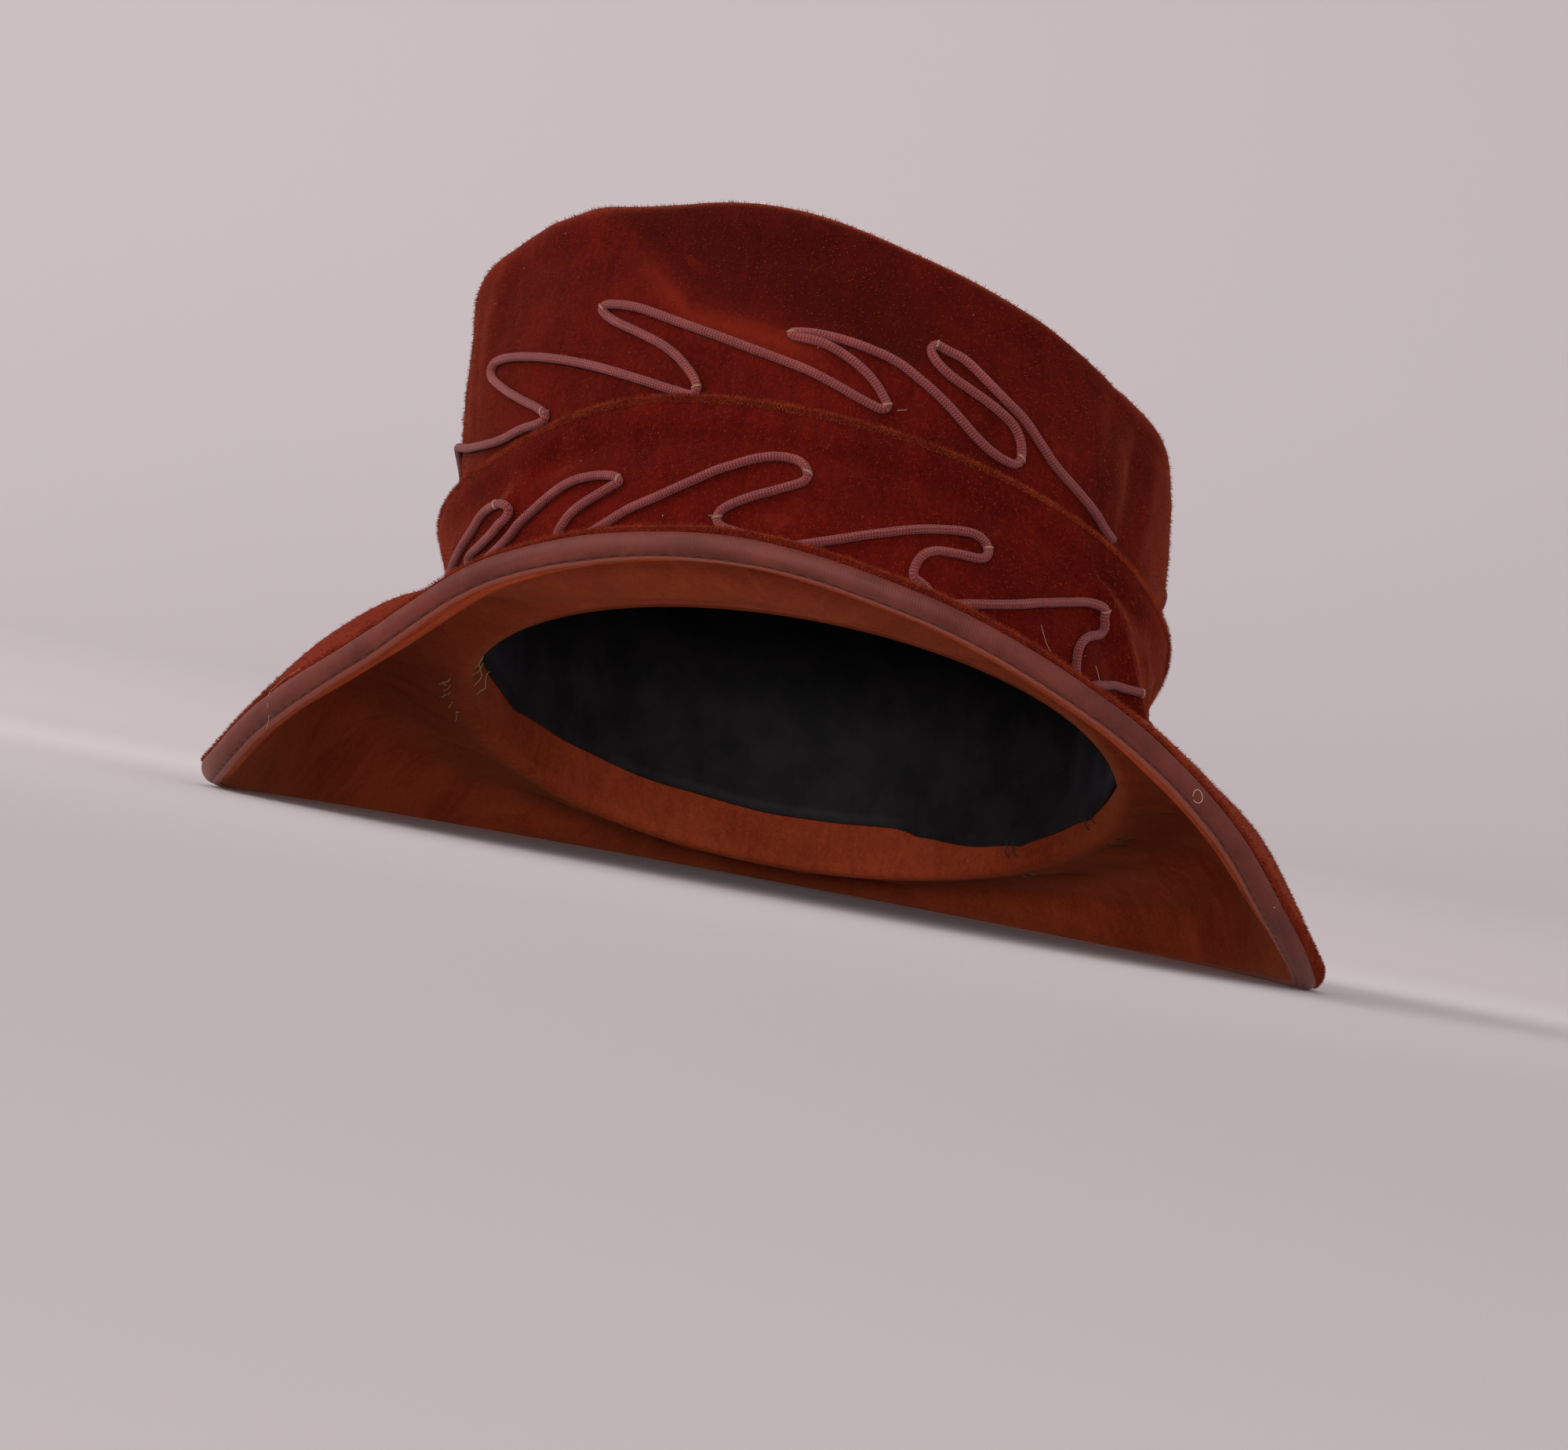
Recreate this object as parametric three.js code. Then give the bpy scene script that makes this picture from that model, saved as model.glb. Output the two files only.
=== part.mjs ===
import * as THREE from "three";

// A velvet cloche hat: deep soft crown, folded drape band, bell brim with a rolled and bound edge,
// black lining and two couched cords. Millimetres, +Z up, the front of the hat towards -Y.
// Azimuth is measured in degrees round the head: 0 at the front, 90 towards +X, 180 at the back.

// Head opening and crown
const HEAD_WIDTH = 182;
const HEAD_LENGTH = 198;
const CROWN_BULGE = 5.2;
const CROWN_HEIGHT = 116;
const CROWN_TILT = 19;
const CROWN_LEAN = -10;
const CROWN_SHIFT = 2;
const SEAM_HEIGHT = 40;
// The crown sags towards the wearer's left: the drop grows from SLOUCH_FROM along +X.
const SLOUCH = 0.136;
const SLOUCH_FROM = -73;
const SLOUCH_SPAN = 120;

// Brim
const BRIM_SPAN = 300;
const BRIM_LIFT = 69;
const ROLL_RADIUS = 4.2;
const ROLL_SINK = 0.35;

// Cloth and clearances
const CROWN_WALL = 2;
const BRIM_WALL = 1.2;
const LINING_WALL = 1;
const BAND_WALL = 2.6;
const BINDING_WALL = 0.6;
const GAP = 0.3;
const BINDING_HALF_ANGLE = 45;

// Collar of the brim facing, turned up inside the crown, and the lower edge of the lining
const COLLAR_SHARE = 0.11;
const LINING_SHARE = 0.06;

// Cords
const CORD_RADIUS = 1.2;
const CORD_LIFT = 0.8;
const CORD_SIDES = 5;
const CORD_STEP = 11;
const CORD_BEND = 38;

// Sampling
const AROUND = 48;
const DEGREE = Math.PI / 180;

// Lengths on the unrolled cloth: millimetres for one degree round and for one unit of share or rise
const GIRTH_RATE = (Math.PI * (HEAD_WIDTH + HEAD_LENGTH)) / 720;
const CROWN_RATE = 1.345 * CROWN_HEIGHT;
const BAND_RATE = 0.362 * CROWN_HEIGHT;
const BRIM_RATE = (BRIM_SPAN - HEAD_WIDTH) / 2;
const BRIM_GIRTH_RATE = (Math.PI * (BRIM_SPAN + HEAD_LENGTH)) / 720;

// Crown wall from the headsize seam (share 0) to the tip (share 1)
const CROWN_ROWS = [
  { share: 0.0, height: 0.0, spread: -0.06 },
  { share: 0.12, height: 0.15, spread: -0.05 },
  { share: 0.26, height: 0.345, spread: -0.024 },
  { share: 0.42, height: 0.57, spread: 0.006 },
  { share: 0.56, height: 0.78, spread: 0.0 },
  { share: 0.67, height: 0.9, spread: -0.02 },
  { share: 0.77, height: 0.945, spread: -0.16 },
  { share: 0.88, height: 0.99, spread: -0.54 },
  { share: 1.0, height: 0.98, spread: -1.0 },
];

// Brim round the head: lift of the edge, slope at the seam, fall into the edge, how far each slope
// holds, and the direction in which the binding faces on the rolled edge
const BRIM_ROWS = [
  { azimuth: -180, lift: 0.0, root: -4, fall: 10, hold: 0.4, belly: 0.4, tape: -20 },
  { azimuth: -135, lift: 0.0, root: 4, fall: 32, hold: 0.45, belly: 0.5, tape: -20 },
  { azimuth: -105, lift: 0.0, root: 16, fall: 57, hold: 0.49, belly: 0.69, tape: -25 },
  { azimuth: -90, lift: 0.01, root: 20, fall: 61, hold: 0.48, belly: 0.66, tape: -30 },
  { azimuth: -75, lift: 0.06, root: 18, fall: 59, hold: 0.42, belly: 0.48, tape: -30 },
  { azimuth: -60, lift: 0.27, root: 22, fall: 45, hold: 0.5, belly: 0.47, tape: -25 },
  { azimuth: -45, lift: 0.52, root: 9, fall: 30, hold: 0.48, belly: 0.45, tape: -15 },
  { azimuth: -30, lift: 0.84, root: 2, fall: 12, hold: 0.42, belly: 0.42, tape: -8 },
  { azimuth: -10, lift: 1.03, root: 0, fall: 3, hold: 0.35, belly: 0.35, tape: -5 },
  { azimuth: 10, lift: 0.96, root: 0, fall: 3, hold: 0.35, belly: 0.35, tape: -5 },
  { azimuth: 30, lift: 0.7, root: 2, fall: 12, hold: 0.42, belly: 0.42, tape: -15 },
  { azimuth: 45, lift: 0.44, root: 5, fall: 30, hold: 0.46, belly: 0.48, tape: -45 },
  { azimuth: 60, lift: 0.2, root: 6, fall: 44, hold: 0.42, belly: 0.55, tape: -80 },
  { azimuth: 75, lift: 0.05, root: 12, fall: 56, hold: 0.37, belly: 0.58, tape: -94 },
  { azimuth: 90, lift: 0.0, root: 18, fall: 58, hold: 0.45, belly: 0.64, tape: -95 },
  { azimuth: 105, lift: 0.0, root: 16, fall: 56, hold: 0.48, belly: 0.68, tape: -80 },
  { azimuth: 135, lift: 0.0, root: 4, fall: 32, hold: 0.45, belly: 0.5, tape: -42 },
];

// Drape band: height of its folded upper edge as a share of the crown height, and how far that edge
// stands off the crown as a share of the band's own thickness
const BAND_ROWS = [
  { azimuth: -180, top: 0.35, flare: 0.77 },
  { azimuth: -130, top: 0.36, flare: 0.92 },
  { azimuth: -90, top: 0.367, flare: 1.38 },
  { azimuth: -60, top: 0.364, flare: 1.15 },
  { azimuth: -30, top: 0.42, flare: 0.77 },
  { azimuth: 0, top: 0.412, flare: 0.69 },
  { azimuth: 30, top: 0.384, flare: 1.08 },
  { azimuth: 48, top: 0.36, flare: 1.46 },
  { azimuth: 62, top: 0.335, flare: 1.38 },
  { azimuth: 90, top: 0.33, flare: 0.54 },
  { azimuth: 130, top: 0.34, flare: 0.69 },
];

// What the folded band is thicker from its lower edge (rise 0) to its fold (rise 1), as a share of
// its thickness: a roll under the fold with a shallow valley below it
const BAND_PROFILE = [
  { share: 0.0, swell: -0.077 },
  { share: 0.2, swell: 0.115 },
  { share: 0.45, swell: 0.231 },
  { share: 0.66, swell: 0.077 },
  { share: 0.78, swell: -0.192 },
  { share: 0.9, swell: 0.192 },
  { share: 1.0, swell: 0 },
];

// Soft folds: place, direction of the long axis in degrees, half length, half width and height
// (+ outward). Lengths and widths are shares of the crown height, on the brim of its span. Heights
// are shares of the crown height, the band's thickness and the brim's span.
const CROWN_FOLDS = [
  { azimuth: -49, share: 0.68, turn: -30, length: 0.19, width: 0.052, height: -0.0172 },
  { azimuth: -27, share: 0.535, turn: -24, length: 0.19, width: 0.06, height: -0.0112 },
  { azimuth: -22, share: 0.455, turn: -12, length: 0.207, width: 0.043, height: 0.0095 },
  { azimuth: 4, share: 0.485, turn: 4, length: 0.224, width: 0.06, height: -0.0129 },
  { azimuth: -50, share: 0.74, turn: -20, length: 0.138, width: 0.052, height: 0.0086 },
  { azimuth: 47, share: 0.45, turn: 76, length: 0.138, width: 0.052, height: 0.0086 },
  { azimuth: 57, share: 0.44, turn: 80, length: 0.155, width: 0.052, height: -0.0112 },
  { azimuth: -80, share: 0.5, turn: 84, length: 0.19, width: 0.069, height: -0.0086 },
  { azimuth: 118, share: 0.52, turn: 20, length: 0.224, width: 0.069, height: -0.0121 },
  { azimuth: 165, share: 0.5, turn: -12, length: 0.259, width: 0.069, height: 0.0103 },
  { azimuth: -138, share: 0.56, turn: 10, length: 0.224, width: 0.069, height: -0.0112 },
];
const BAND_FOLDS = [
  { azimuth: -53, share: 0.78, turn: 52, length: 0.078, width: 0.034, height: 0.31 },
  { azimuth: -47, share: 0.66, turn: 50, length: 0.103, width: 0.034, height: -0.31 },
  { azimuth: 57, share: 0.52, turn: -29, length: 0.19, width: 0.034, height: 0.62 },
  { azimuth: 50, share: 0.42, turn: -29, length: 0.172, width: 0.034, height: -0.35 },
  { azimuth: 28, share: 0.34, turn: -10, length: 0.19, width: 0.043, height: 0.27 },
  { azimuth: 112, share: 0.5, turn: 18, length: 0.172, width: 0.043, height: 0.35 },
  { azimuth: 160, share: 0.5, turn: -14, length: 0.19, width: 0.043, height: 0.35 },
  { azimuth: -140, share: 0.46, turn: 12, length: 0.207, width: 0.043, height: -0.31 },
  { azimuth: -102, share: 0.55, turn: -14, length: 0.138, width: 0.043, height: 0.31 },
];
const BRIM_FOLDS = [
  { azimuth: 118, share: 0.45, turn: 82, length: 0.067, width: 0.033, height: -0.0053 },
  { azimuth: 134, share: 0.5, turn: 86, length: 0.067, width: 0.033, height: 0.0043 },
  { azimuth: 156, share: 0.5, turn: 90, length: 0.06, width: 0.04, height: -0.003 },
  { azimuth: -150, share: 0.5, turn: 96, length: 0.06, width: 0.04, height: 0.003 },
  { azimuth: -112, share: 0.5, turn: 84, length: 0.073, width: 0.04, height: -0.004 },
  { azimuth: -70, share: 0.55, turn: 96, length: 0.06, width: 0.03, height: 0.003 },
  { azimuth: 66, share: 0.5, turn: 84, length: 0.06, width: 0.033, height: -0.003 },
];

// Couched cords: one row for each bend or for the middle of a bowed strand. On the crown share runs
// as in CROWN_ROWS, on the band it is the rise from its lower edge to its fold.
const UPPER_CORD = [
  { azimuth: -90, share: 0.345 },
  { azimuth: -91, share: 0.4 },
  { azimuth: -86, share: 0.408 },
  { azimuth: -74, share: 0.35 },
  { azimuth: -53, share: 0.31 },
  { azimuth: -50, share: 0.334 },
  { azimuth: -61, share: 0.392 },
  { azimuth: -69, share: 0.44 },
  { azimuth: -67, share: 0.466 },
  { azimuth: -45, share: 0.398 },
  { azimuth: -24, share: 0.325 },
  { azimuth: -21, share: 0.349 },
  { azimuth: -30, share: 0.428 },
  { azimuth: -41, share: 0.468 },
  { azimuth: -38, share: 0.49 },
  { azimuth: -16, share: 0.415 },
  { azimuth: 5, share: 0.334 },
  { azimuth: 8, share: 0.358 },
  { azimuth: 0, share: 0.418 },
  { azimuth: -10, share: 0.432 },
  { azimuth: -7, share: 0.456 },
  { azimuth: 8, share: 0.416 },
  { azimuth: 24, share: 0.316 },
  { azimuth: 30.5, share: 0.335 },
  { azimuth: 27, share: 0.394 },
  { azimuth: 15, share: 0.438 },
  { azimuth: 12.5, share: 0.474 },
  { azimuth: 17, share: 0.485 },
  { azimuth: 30, share: 0.394 },
  { azimuth: 46, share: 0.322 },
  { azimuth: 53, share: 0.258 },
  { azimuth: 55, share: 0.238 },
];
const LOWER_CORD = [
  { azimuth: -72, share: 0.5 },
  { azimuth: -57, share: 0.65 },
  { azimuth: -54, share: 0.58 },
  { azimuth: -66, share: 0.47 },
  { azimuth: -70, share: 0.34 },
  { azimuth: -65, share: 0.25 },
  { azimuth: -52, share: 0.42 },
  { azimuth: -35, share: 0.61 },
  { azimuth: -32, share: 0.55 },
  { azimuth: -41, share: 0.43 },
  { azimuth: -45, share: 0.3 },
  { azimuth: -40, share: 0.24 },
  { azimuth: -24, share: 0.46 },
  { azimuth: -8, share: 0.715 },
  { azimuth: -3.5, share: 0.66 },
  { azimuth: -9, share: 0.51 },
  { azimuth: -16.5, share: 0.36 },
  { azimuth: -11, share: 0.27 },
  { azimuth: 4, share: 0.385 },
  { azimuth: 20, share: 0.62 },
  { azimuth: 25, share: 0.55 },
  { azimuth: 18, share: 0.42 },
  { azimuth: 13.5, share: 0.24 },
  { azimuth: 18.5, share: 0.14 },
  { azimuth: 33, share: 0.36 },
  { azimuth: 46, share: 0.61 },
  { azimuth: 50, share: 0.55 },
  { azimuth: 45, share: 0.34 },
  { azimuth: 44, share: 0.18 },
  { azimuth: 51, share: 0.14 },
];

// The same zigzag carried plainly round the back, one bend for each row, steps of azimuth
const BACK_STEP = 44;
const UPPER_BACK = [
  { ahead: 0, share: 0.325 },
  { ahead: 3, share: 0.35 },
  { ahead: -10, share: 0.408 },
  { ahead: -24, share: 0.44 },
  { ahead: -23, share: 0.466 },
  { ahead: 12, share: 0.4 },
];
const LOWER_BACK = [
  { ahead: 18, share: 0.4 },
  { ahead: 36, share: 0.62 },
  { ahead: 40, share: 0.56 },
  { ahead: 34, share: 0.4 },
  { ahead: 30, share: 0.26 },
  { ahead: 35, share: 0.18 },
];

const VELVET = 0x6b150b;
const BAND_VELVET = 0x741a0d;
const FACING_VELVET = 0x7c3119;
const BINDING_RIBBON = 0x7a423c;
const LINING_CLOTH = 0x16141a;
const CORD_ROSE = 0x8f4449;

function hermite(low, high, lowSlope, highSlope, t) {
  const a = 2 * t ** 3 - 3 * t ** 2 + 1;
  const b = t ** 3 - 2 * t ** 2 + t;
  const c = -2 * t ** 3 + 3 * t ** 2;
  const d = t ** 3 - t ** 2;
  return a * low + b * lowSlope + c * high + d * highSlope;
}

// Value of a table column at an azimuth, smooth and closed round the head
function around(rows, key, azimuth) {
  const n = rows.length;
  const turn = (((azimuth + 180) % 360) + 360) % 360 - 180;
  let i = n - 1;
  while (i > 0 && rows[i].azimuth > turn) i -= 1;
  const place = (k) => rows[((k % n) + n) % n].azimuth + 360 * Math.floor(k / n);
  const value = (k) => rows[((k % n) + n) % n][key];
  const h = place(i + 1) - place(i);
  const lowSlope = ((value(i + 1) - value(i - 1)) / (place(i + 1) - place(i - 1))) * h;
  const highSlope = ((value(i + 2) - value(i)) / (place(i + 2) - place(i))) * h;
  return hermite(value(i), value(i + 1), lowSlope, highSlope, (turn - place(i)) / h);
}

// Value of a table column at a share from 0 to 1
function along(rows, key, share) {
  const n = rows.length;
  let i = 0;
  while (i < n - 2 && rows[i + 1].share <= share) i += 1;
  const slope = (k) => {
    if (k === 0) return (rows[1][key] - rows[0][key]) / (rows[1].share - rows[0].share);
    if (k === n - 1) return (rows[k][key] - rows[k - 1][key]) / (rows[k].share - rows[k - 1].share);
    const before = rows[k].share - rows[k - 1].share;
    const after = rows[k + 1].share - rows[k].share;
    const low = (rows[k][key] - rows[k - 1][key]) / before;
    const high = (rows[k + 1][key] - rows[k][key]) / after;
    return (low * after + high * before) / (before + after);
  };
  const h = rows[i + 1].share - rows[i].share;
  return hermite(rows[i][key], rows[i + 1][key], slope(i) * h, slope(i + 1) * h, (share - rows[i].share) / h);
}

function smoothStep(low, high, value) {
  const t = Math.min(1, Math.max(0, (value - low) / (high - low)));
  return t * t * (3 - 2 * t);
}

// Sum of the soft folds of a table at a place on the cloth, whose lengths are shares of a size
function foldHeight(folds, azimuth, share, girthRate, shareRate, size) {
  let height = 0;
  for (const fold of folds) {
    const turn = ((((azimuth - fold.azimuth + 180) % 360) + 360) % 360) - 180;
    const u = turn * girthRate;
    const v = (share - fold.share) * shareRate;
    const c = Math.cos(fold.turn * DEGREE);
    const s = Math.sin(fold.turn * DEGREE);
    const far = ((u * c + v * s) / (fold.length * size)) ** 2 + ((v * c - u * s) / (fold.width * size)) ** 2;
    height += fold.height * Math.exp(-far);
  }
  return height;
}

// Crown frame, tilted back from the level
function tilted(x, y, z) {
  const c = Math.cos(CROWN_TILT * DEGREE);
  const s = Math.sin(CROWN_TILT * DEGREE);
  return new THREE.Vector3(x, y * c + z * s, SEAM_HEIGHT - y * s + z * c);
}
const CROWN_AXIS = tilted(0, 0, 1).sub(tilted(0, 0, 0));

// Smooth crown surface, without its folds
function crownForm(azimuth, share) {
  const spread = 1 + along(CROWN_ROWS, "spread", share);
  const rise = along(CROWN_ROWS, "height", share) * CROWN_HEIGHT;
  const x = (HEAD_WIDTH / 2 + CROWN_BULGE) * spread * Math.sin(azimuth * DEGREE);
  const y = -(HEAD_LENGTH / 2 + CROWN_BULGE) * spread * Math.cos(azimuth * DEGREE);
  const level = rise / CROWN_HEIGHT;
  const drop = SLOUCH * Math.max(0, (x - SLOUCH_FROM) / SLOUCH_SPAN) ** 1.5;
  return tilted(x + CROWN_LEAN * level + CROWN_SHIFT, y, rise * (1 - drop * level ** 1.5));
}

function outwardOf(surface, azimuth, share) {
  const round = surface(azimuth + 0.5, share).sub(surface(azimuth - 0.5, share));
  const up = surface(azimuth, share + 0.003).sub(surface(azimuth, share - 0.003));
  return round.cross(up).normalize();
}

// Point of the crown form moved along its outward direction
function crownOffset(azimuth, share, distance) {
  if (share > 0.995) return crownForm(azimuth, 1).addScaledVector(CROWN_AXIS, distance);
  const out = outwardOf(crownForm, azimuth, Math.max(share, 0.004));
  return crownForm(azimuth, share).addScaledVector(out, distance);
}

function crownFold(azimuth, share) {
  const fade = 1 - smoothStep(0.86, 0.97, share);
  return fade * CROWN_HEIGHT * foldHeight(CROWN_FOLDS, azimuth, share, GIRTH_RATE, CROWN_RATE, CROWN_HEIGHT);
}

// Share of the crown wall at a given height
function shareAt(height) {
  let low = 0;
  let high = 0.7;
  for (let k = 0; k < 40; k += 1) {
    const middle = (low + high) / 2;
    if (along(CROWN_ROWS, "height", middle) < height) low = middle;
    else high = middle;
  }
  return (low + high) / 2;
}

// Band surface: rise 0 at its lower edge, 1 at its fold; depth 0 on the inside, 1 on the outside
function bandPoint(azimuth, rise, depth) {
  const share = shareAt(around(BAND_ROWS, "top", azimuth) * rise);
  const stand = GAP + around(BAND_ROWS, "flare", azimuth) * BAND_WALL * rise ** 1.5;
  const fold = rise < 0.98 ? foldHeight(BAND_FOLDS, azimuth, rise, GIRTH_RATE, BAND_RATE, CROWN_HEIGHT) : 0;
  const body = BAND_WALL * (1 + along(BAND_PROFILE, "swell", rise) + fold);
  return crownOffset(azimuth, share, stand + depth * body);
}

// Brim section at an azimuth: seam point, outward direction and the centre of the rolled edge
function brimFrame(azimuth) {
  const seam = crownForm(azimuth, 0).addScaledVector(CROWN_AXIS, -GAP - 0.05);
  const reach = BRIM_SPAN / 2 - ROLL_RADIUS;
  const aim = new THREE.Vector3(reach * Math.sin(azimuth * DEGREE), -reach * Math.cos(azimuth * DEGREE), seam.z);
  const out = aim.sub(seam);
  const length = out.length();
  out.divideScalar(length);
  const centre = around(BRIM_ROWS, "lift", azimuth) * BRIM_LIFT + ROLL_RADIUS - ROLL_SINK;
  return { seam, out, length, centre, fall: around(BRIM_ROWS, "fall", azimuth) };
}

function sectionPoint(frame, distance, height) {
  const point = frame.seam.clone().addScaledVector(frame.out, distance);
  point.z = height;
  return point;
}

// Upper side of the brim from the seam (share 0) to the start of the rolled edge (share 1)
function brimForm(azimuth, share) {
  const frame = brimFrame(azimuth);
  const root = around(BRIM_ROWS, "root", azimuth) * DEGREE;
  const fall = frame.fall * DEGREE;
  const endAlong = frame.length + ROLL_RADIUS * Math.sin(fall);
  const endHeight = frame.centre + ROLL_RADIUS * Math.cos(fall);
  const span = Math.hypot(endAlong, endHeight - frame.seam.z);
  const hold = span * around(BRIM_ROWS, "hold", azimuth);
  const belly = span * around(BRIM_ROWS, "belly", azimuth);
  const a = (1 - share) ** 3;
  const b = 3 * (1 - share) ** 2 * share;
  const c = 3 * (1 - share) * share ** 2;
  const d = share ** 3;
  const distance = b * hold * Math.cos(root) + c * (endAlong - belly * Math.cos(fall)) + d * endAlong;
  const height = a * frame.seam.z + b * (frame.seam.z + hold * Math.sin(root))
    + c * (endHeight + belly * Math.sin(fall)) + d * endHeight;
  return sectionPoint(frame, distance, height);
}

function brimUp(azimuth, share) {
  const s = Math.min(0.995, Math.max(0.005, share));
  const round = brimForm(azimuth + 0.5, s).sub(brimForm(azimuth - 0.5, s));
  const out = brimForm(azimuth, s + 0.004).sub(brimForm(azimuth, s - 0.004));
  const up = out.cross(round);
  return up.normalize();
}

// Upper side of the brim with its folds, lowered by a depth
function brimPoint(azimuth, share, depth) {
  const fade = smoothStep(0, 0.25, share) * (1 - smoothStep(0.75, 1, share));
  const fold = fade * BRIM_SPAN * foldHeight(BRIM_FOLDS, azimuth, share, BRIM_GIRTH_RATE, BRIM_RATE, BRIM_SPAN);
  return brimForm(azimuth, share).addScaledVector(brimUp(azimuth, share), fold - depth);
}

// Point on the rolled edge: angle 0 faces outward, -90 down
function rollPoint(frame, angle, radius) {
  const distance = frame.length + radius * Math.cos(angle * DEGREE);
  return sectionPoint(frame, distance, frame.centre + radius * Math.sin(angle * DEGREE));
}

// The rolled edge is pressed flat where the hat rests on it.
function rested(point, floor) {
  if (point.z < floor) point.z = floor;
  return point;
}

function azimuthAt(i) {
  return -180 + (360 * i) / AROUND;
}

// Two triangles over a four-sided facet, split along its shorter diagonal so that layers stay parallel
function quad(positions, indices, a, b, c, d) {
  const corner = (k) => new THREE.Vector3().fromArray(positions, 3 * k);
  if (corner(a).distanceTo(corner(c)) <= corner(b).distanceTo(corner(d)) + 1e-6) {
    indices.push(a, b, c, a, c, d);
  } else {
    indices.push(a, b, d, b, c, d);
  }
}

// Closed ring with the same section outline at each azimuth
function ring(section) {
  const positions = [];
  const indices = [];
  let count = 0;
  for (let i = 0; i < AROUND; i += 1) {
    const outline = section(azimuthAt(i));
    count = outline.length;
    for (const point of outline) positions.push(point.x, point.y, point.z);
  }
  for (let i = 0; i < AROUND; i += 1) {
    const next = (i + 1) % AROUND;
    for (let j = 0; j < count; j += 1) {
      const k = (j + 1) % count;
      quad(positions, indices, i * count + j, next * count + j, next * count + k, i * count + k);
    }
  }
  return { positions, indices };
}

// Closed dome: an outer and an inner line from rim to tip at each azimuth
function dome(outer, inner, outerTip, innerTip) {
  const positions = [];
  const indices = [];
  const lines = [];
  for (let i = 0; i < AROUND; i += 1) {
    const azimuth = azimuthAt(i);
    lines.push([...outer(azimuth).reverse(), ...inner(azimuth)]);
  }
  const count = lines[0].length;
  for (const line of lines) {
    for (const point of line) positions.push(point.x, point.y, point.z);
  }
  const outerPole = positions.length / 3;
  positions.push(outerTip.x, outerTip.y, outerTip.z);
  const innerPole = outerPole + 1;
  positions.push(innerTip.x, innerTip.y, innerTip.z);
  for (let i = 0; i < AROUND; i += 1) {
    const next = (i + 1) % AROUND;
    for (let j = 0; j < count - 1; j += 1) {
      quad(positions, indices, i * count + j, next * count + j, next * count + j + 1, i * count + j + 1);
    }
    indices.push(outerPole, next * count, i * count);
    indices.push(innerPole, i * count + count - 1, next * count + count - 1);
  }
  return { positions, indices };
}

// Outline from a visible line and a hidden line that run the same way
function outline(visible, hidden) {
  return [...visible, ...hidden.slice().reverse()];
}

const CROWN_OUTER = [0, 0.07, 0.15, 0.23, 0.31, 0.38, 0.45, 0.52, 0.59, 0.66, 0.73, 0.81, 0.9];
const CROWN_INNER = [0, 0.14, 0.3, 0.45, 0.6, 0.71, 0.84];
const LINING_LINE = [LINING_SHARE, 0.22, 0.4, 0.56, 0.69, 0.83];
const BAND_OUTER = [0.06, 0.24, 0.42, 0.58, 0.7, 0.79, 0.89, 0.97];
const BAND_INNER = [0.06, 0.4, 0.72, 0.96];
const BRIM_LINE = [0.12, 0.34, 0.56, 0.78, 1];

function crownSkin(azimuth, share, depth) {
  return crownOffset(azimuth, share, crownFold(azimuth, share) - depth);
}

function crownMesh() {
  const outer = (azimuth) => CROWN_OUTER.map((share) => crownSkin(azimuth, share, 0));
  const inner = (azimuth) => CROWN_INNER.map((share) => crownSkin(azimuth, share, CROWN_WALL));
  return dome(outer, inner, crownOffset(0, 1, 0), crownOffset(0, 1, -CROWN_WALL));
}

// The lining hangs free of the crown above the collar.
function liningDepth(share) {
  return CROWN_WALL + BRIM_WALL + 2 * GAP + 0.4 + 3 * smoothStep(0.12, 0.4, share);
}

function liningMesh() {
  const outer = (azimuth) => LINING_LINE.map((share) => crownOffset(azimuth, share, -liningDepth(share)));
  const inner = (azimuth) => LINING_LINE.map((share) => crownOffset(azimuth, share, -liningDepth(share) - LINING_WALL));
  const tip = liningDepth(1);
  return dome(outer, inner, crownOffset(0, 1, -tip), crownOffset(0, 1, -tip - LINING_WALL));
}

function bandMesh() {
  return ring((azimuth) => {
    const visible = BAND_OUTER.map((rise) => bandPoint(azimuth, rise, 1));
    visible.push(bandPoint(azimuth, 1, 0.62), bandPoint(azimuth, 1, 0.22));
    const hidden = BAND_INNER.map((rise) => bandPoint(azimuth, rise, 0));
    return outline(visible, hidden);
  });
}

// Angle on the roll where the under layer ends, always past the start of its turn
function facingEnd(azimuth) {
  const start = -90 - around(BRIM_ROWS, "fall", azimuth);
  return Math.max(around(BRIM_ROWS, "tape", azimuth) - BINDING_HALF_ANGLE - 9, start + 5);
}

// Upper layer of the brim: from under the crown rim, over the rolled edge and in below the binding
function brimTopSection(azimuth) {
  const frame = brimFrame(azimuth);
  const start = 90 - frame.fall;
  const tape = around(BRIM_ROWS, "tape", azimuth);
  const tapeStart = Math.min(tape + BINDING_HALF_ANGLE, start - 6);
  const tapeEnd = facingEnd(azimuth) + 9;
  const recess = ROLL_RADIUS - BINDING_WALL - GAP;
  const turn = [(start + tapeStart) / 2, tapeStart];
  const under = [tapeStart - 2, tape, tapeEnd];
  const line = (depth) => {
    const rim = crownOffset(azimuth, 0, -CROWN_WALL + 0.2).addScaledVector(CROWN_AXIS, -GAP - 0.05 - depth);
    const seam = brimForm(azimuth, 0).addScaledVector(CROWN_AXIS, -depth);
    return [
      rim,
      seam,
      ...BRIM_LINE.map((share) => brimPoint(azimuth, share, depth)),
      ...turn.map((angle) => rested(rollPoint(frame, angle, ROLL_RADIUS - depth), depth)),
      ...under.map((angle) => rested(rollPoint(frame, angle, recess - depth), BINDING_WALL + GAP - 0.05 + depth)),
    ];
  };
  return outline(line(0), line(BRIM_WALL));
}

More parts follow.
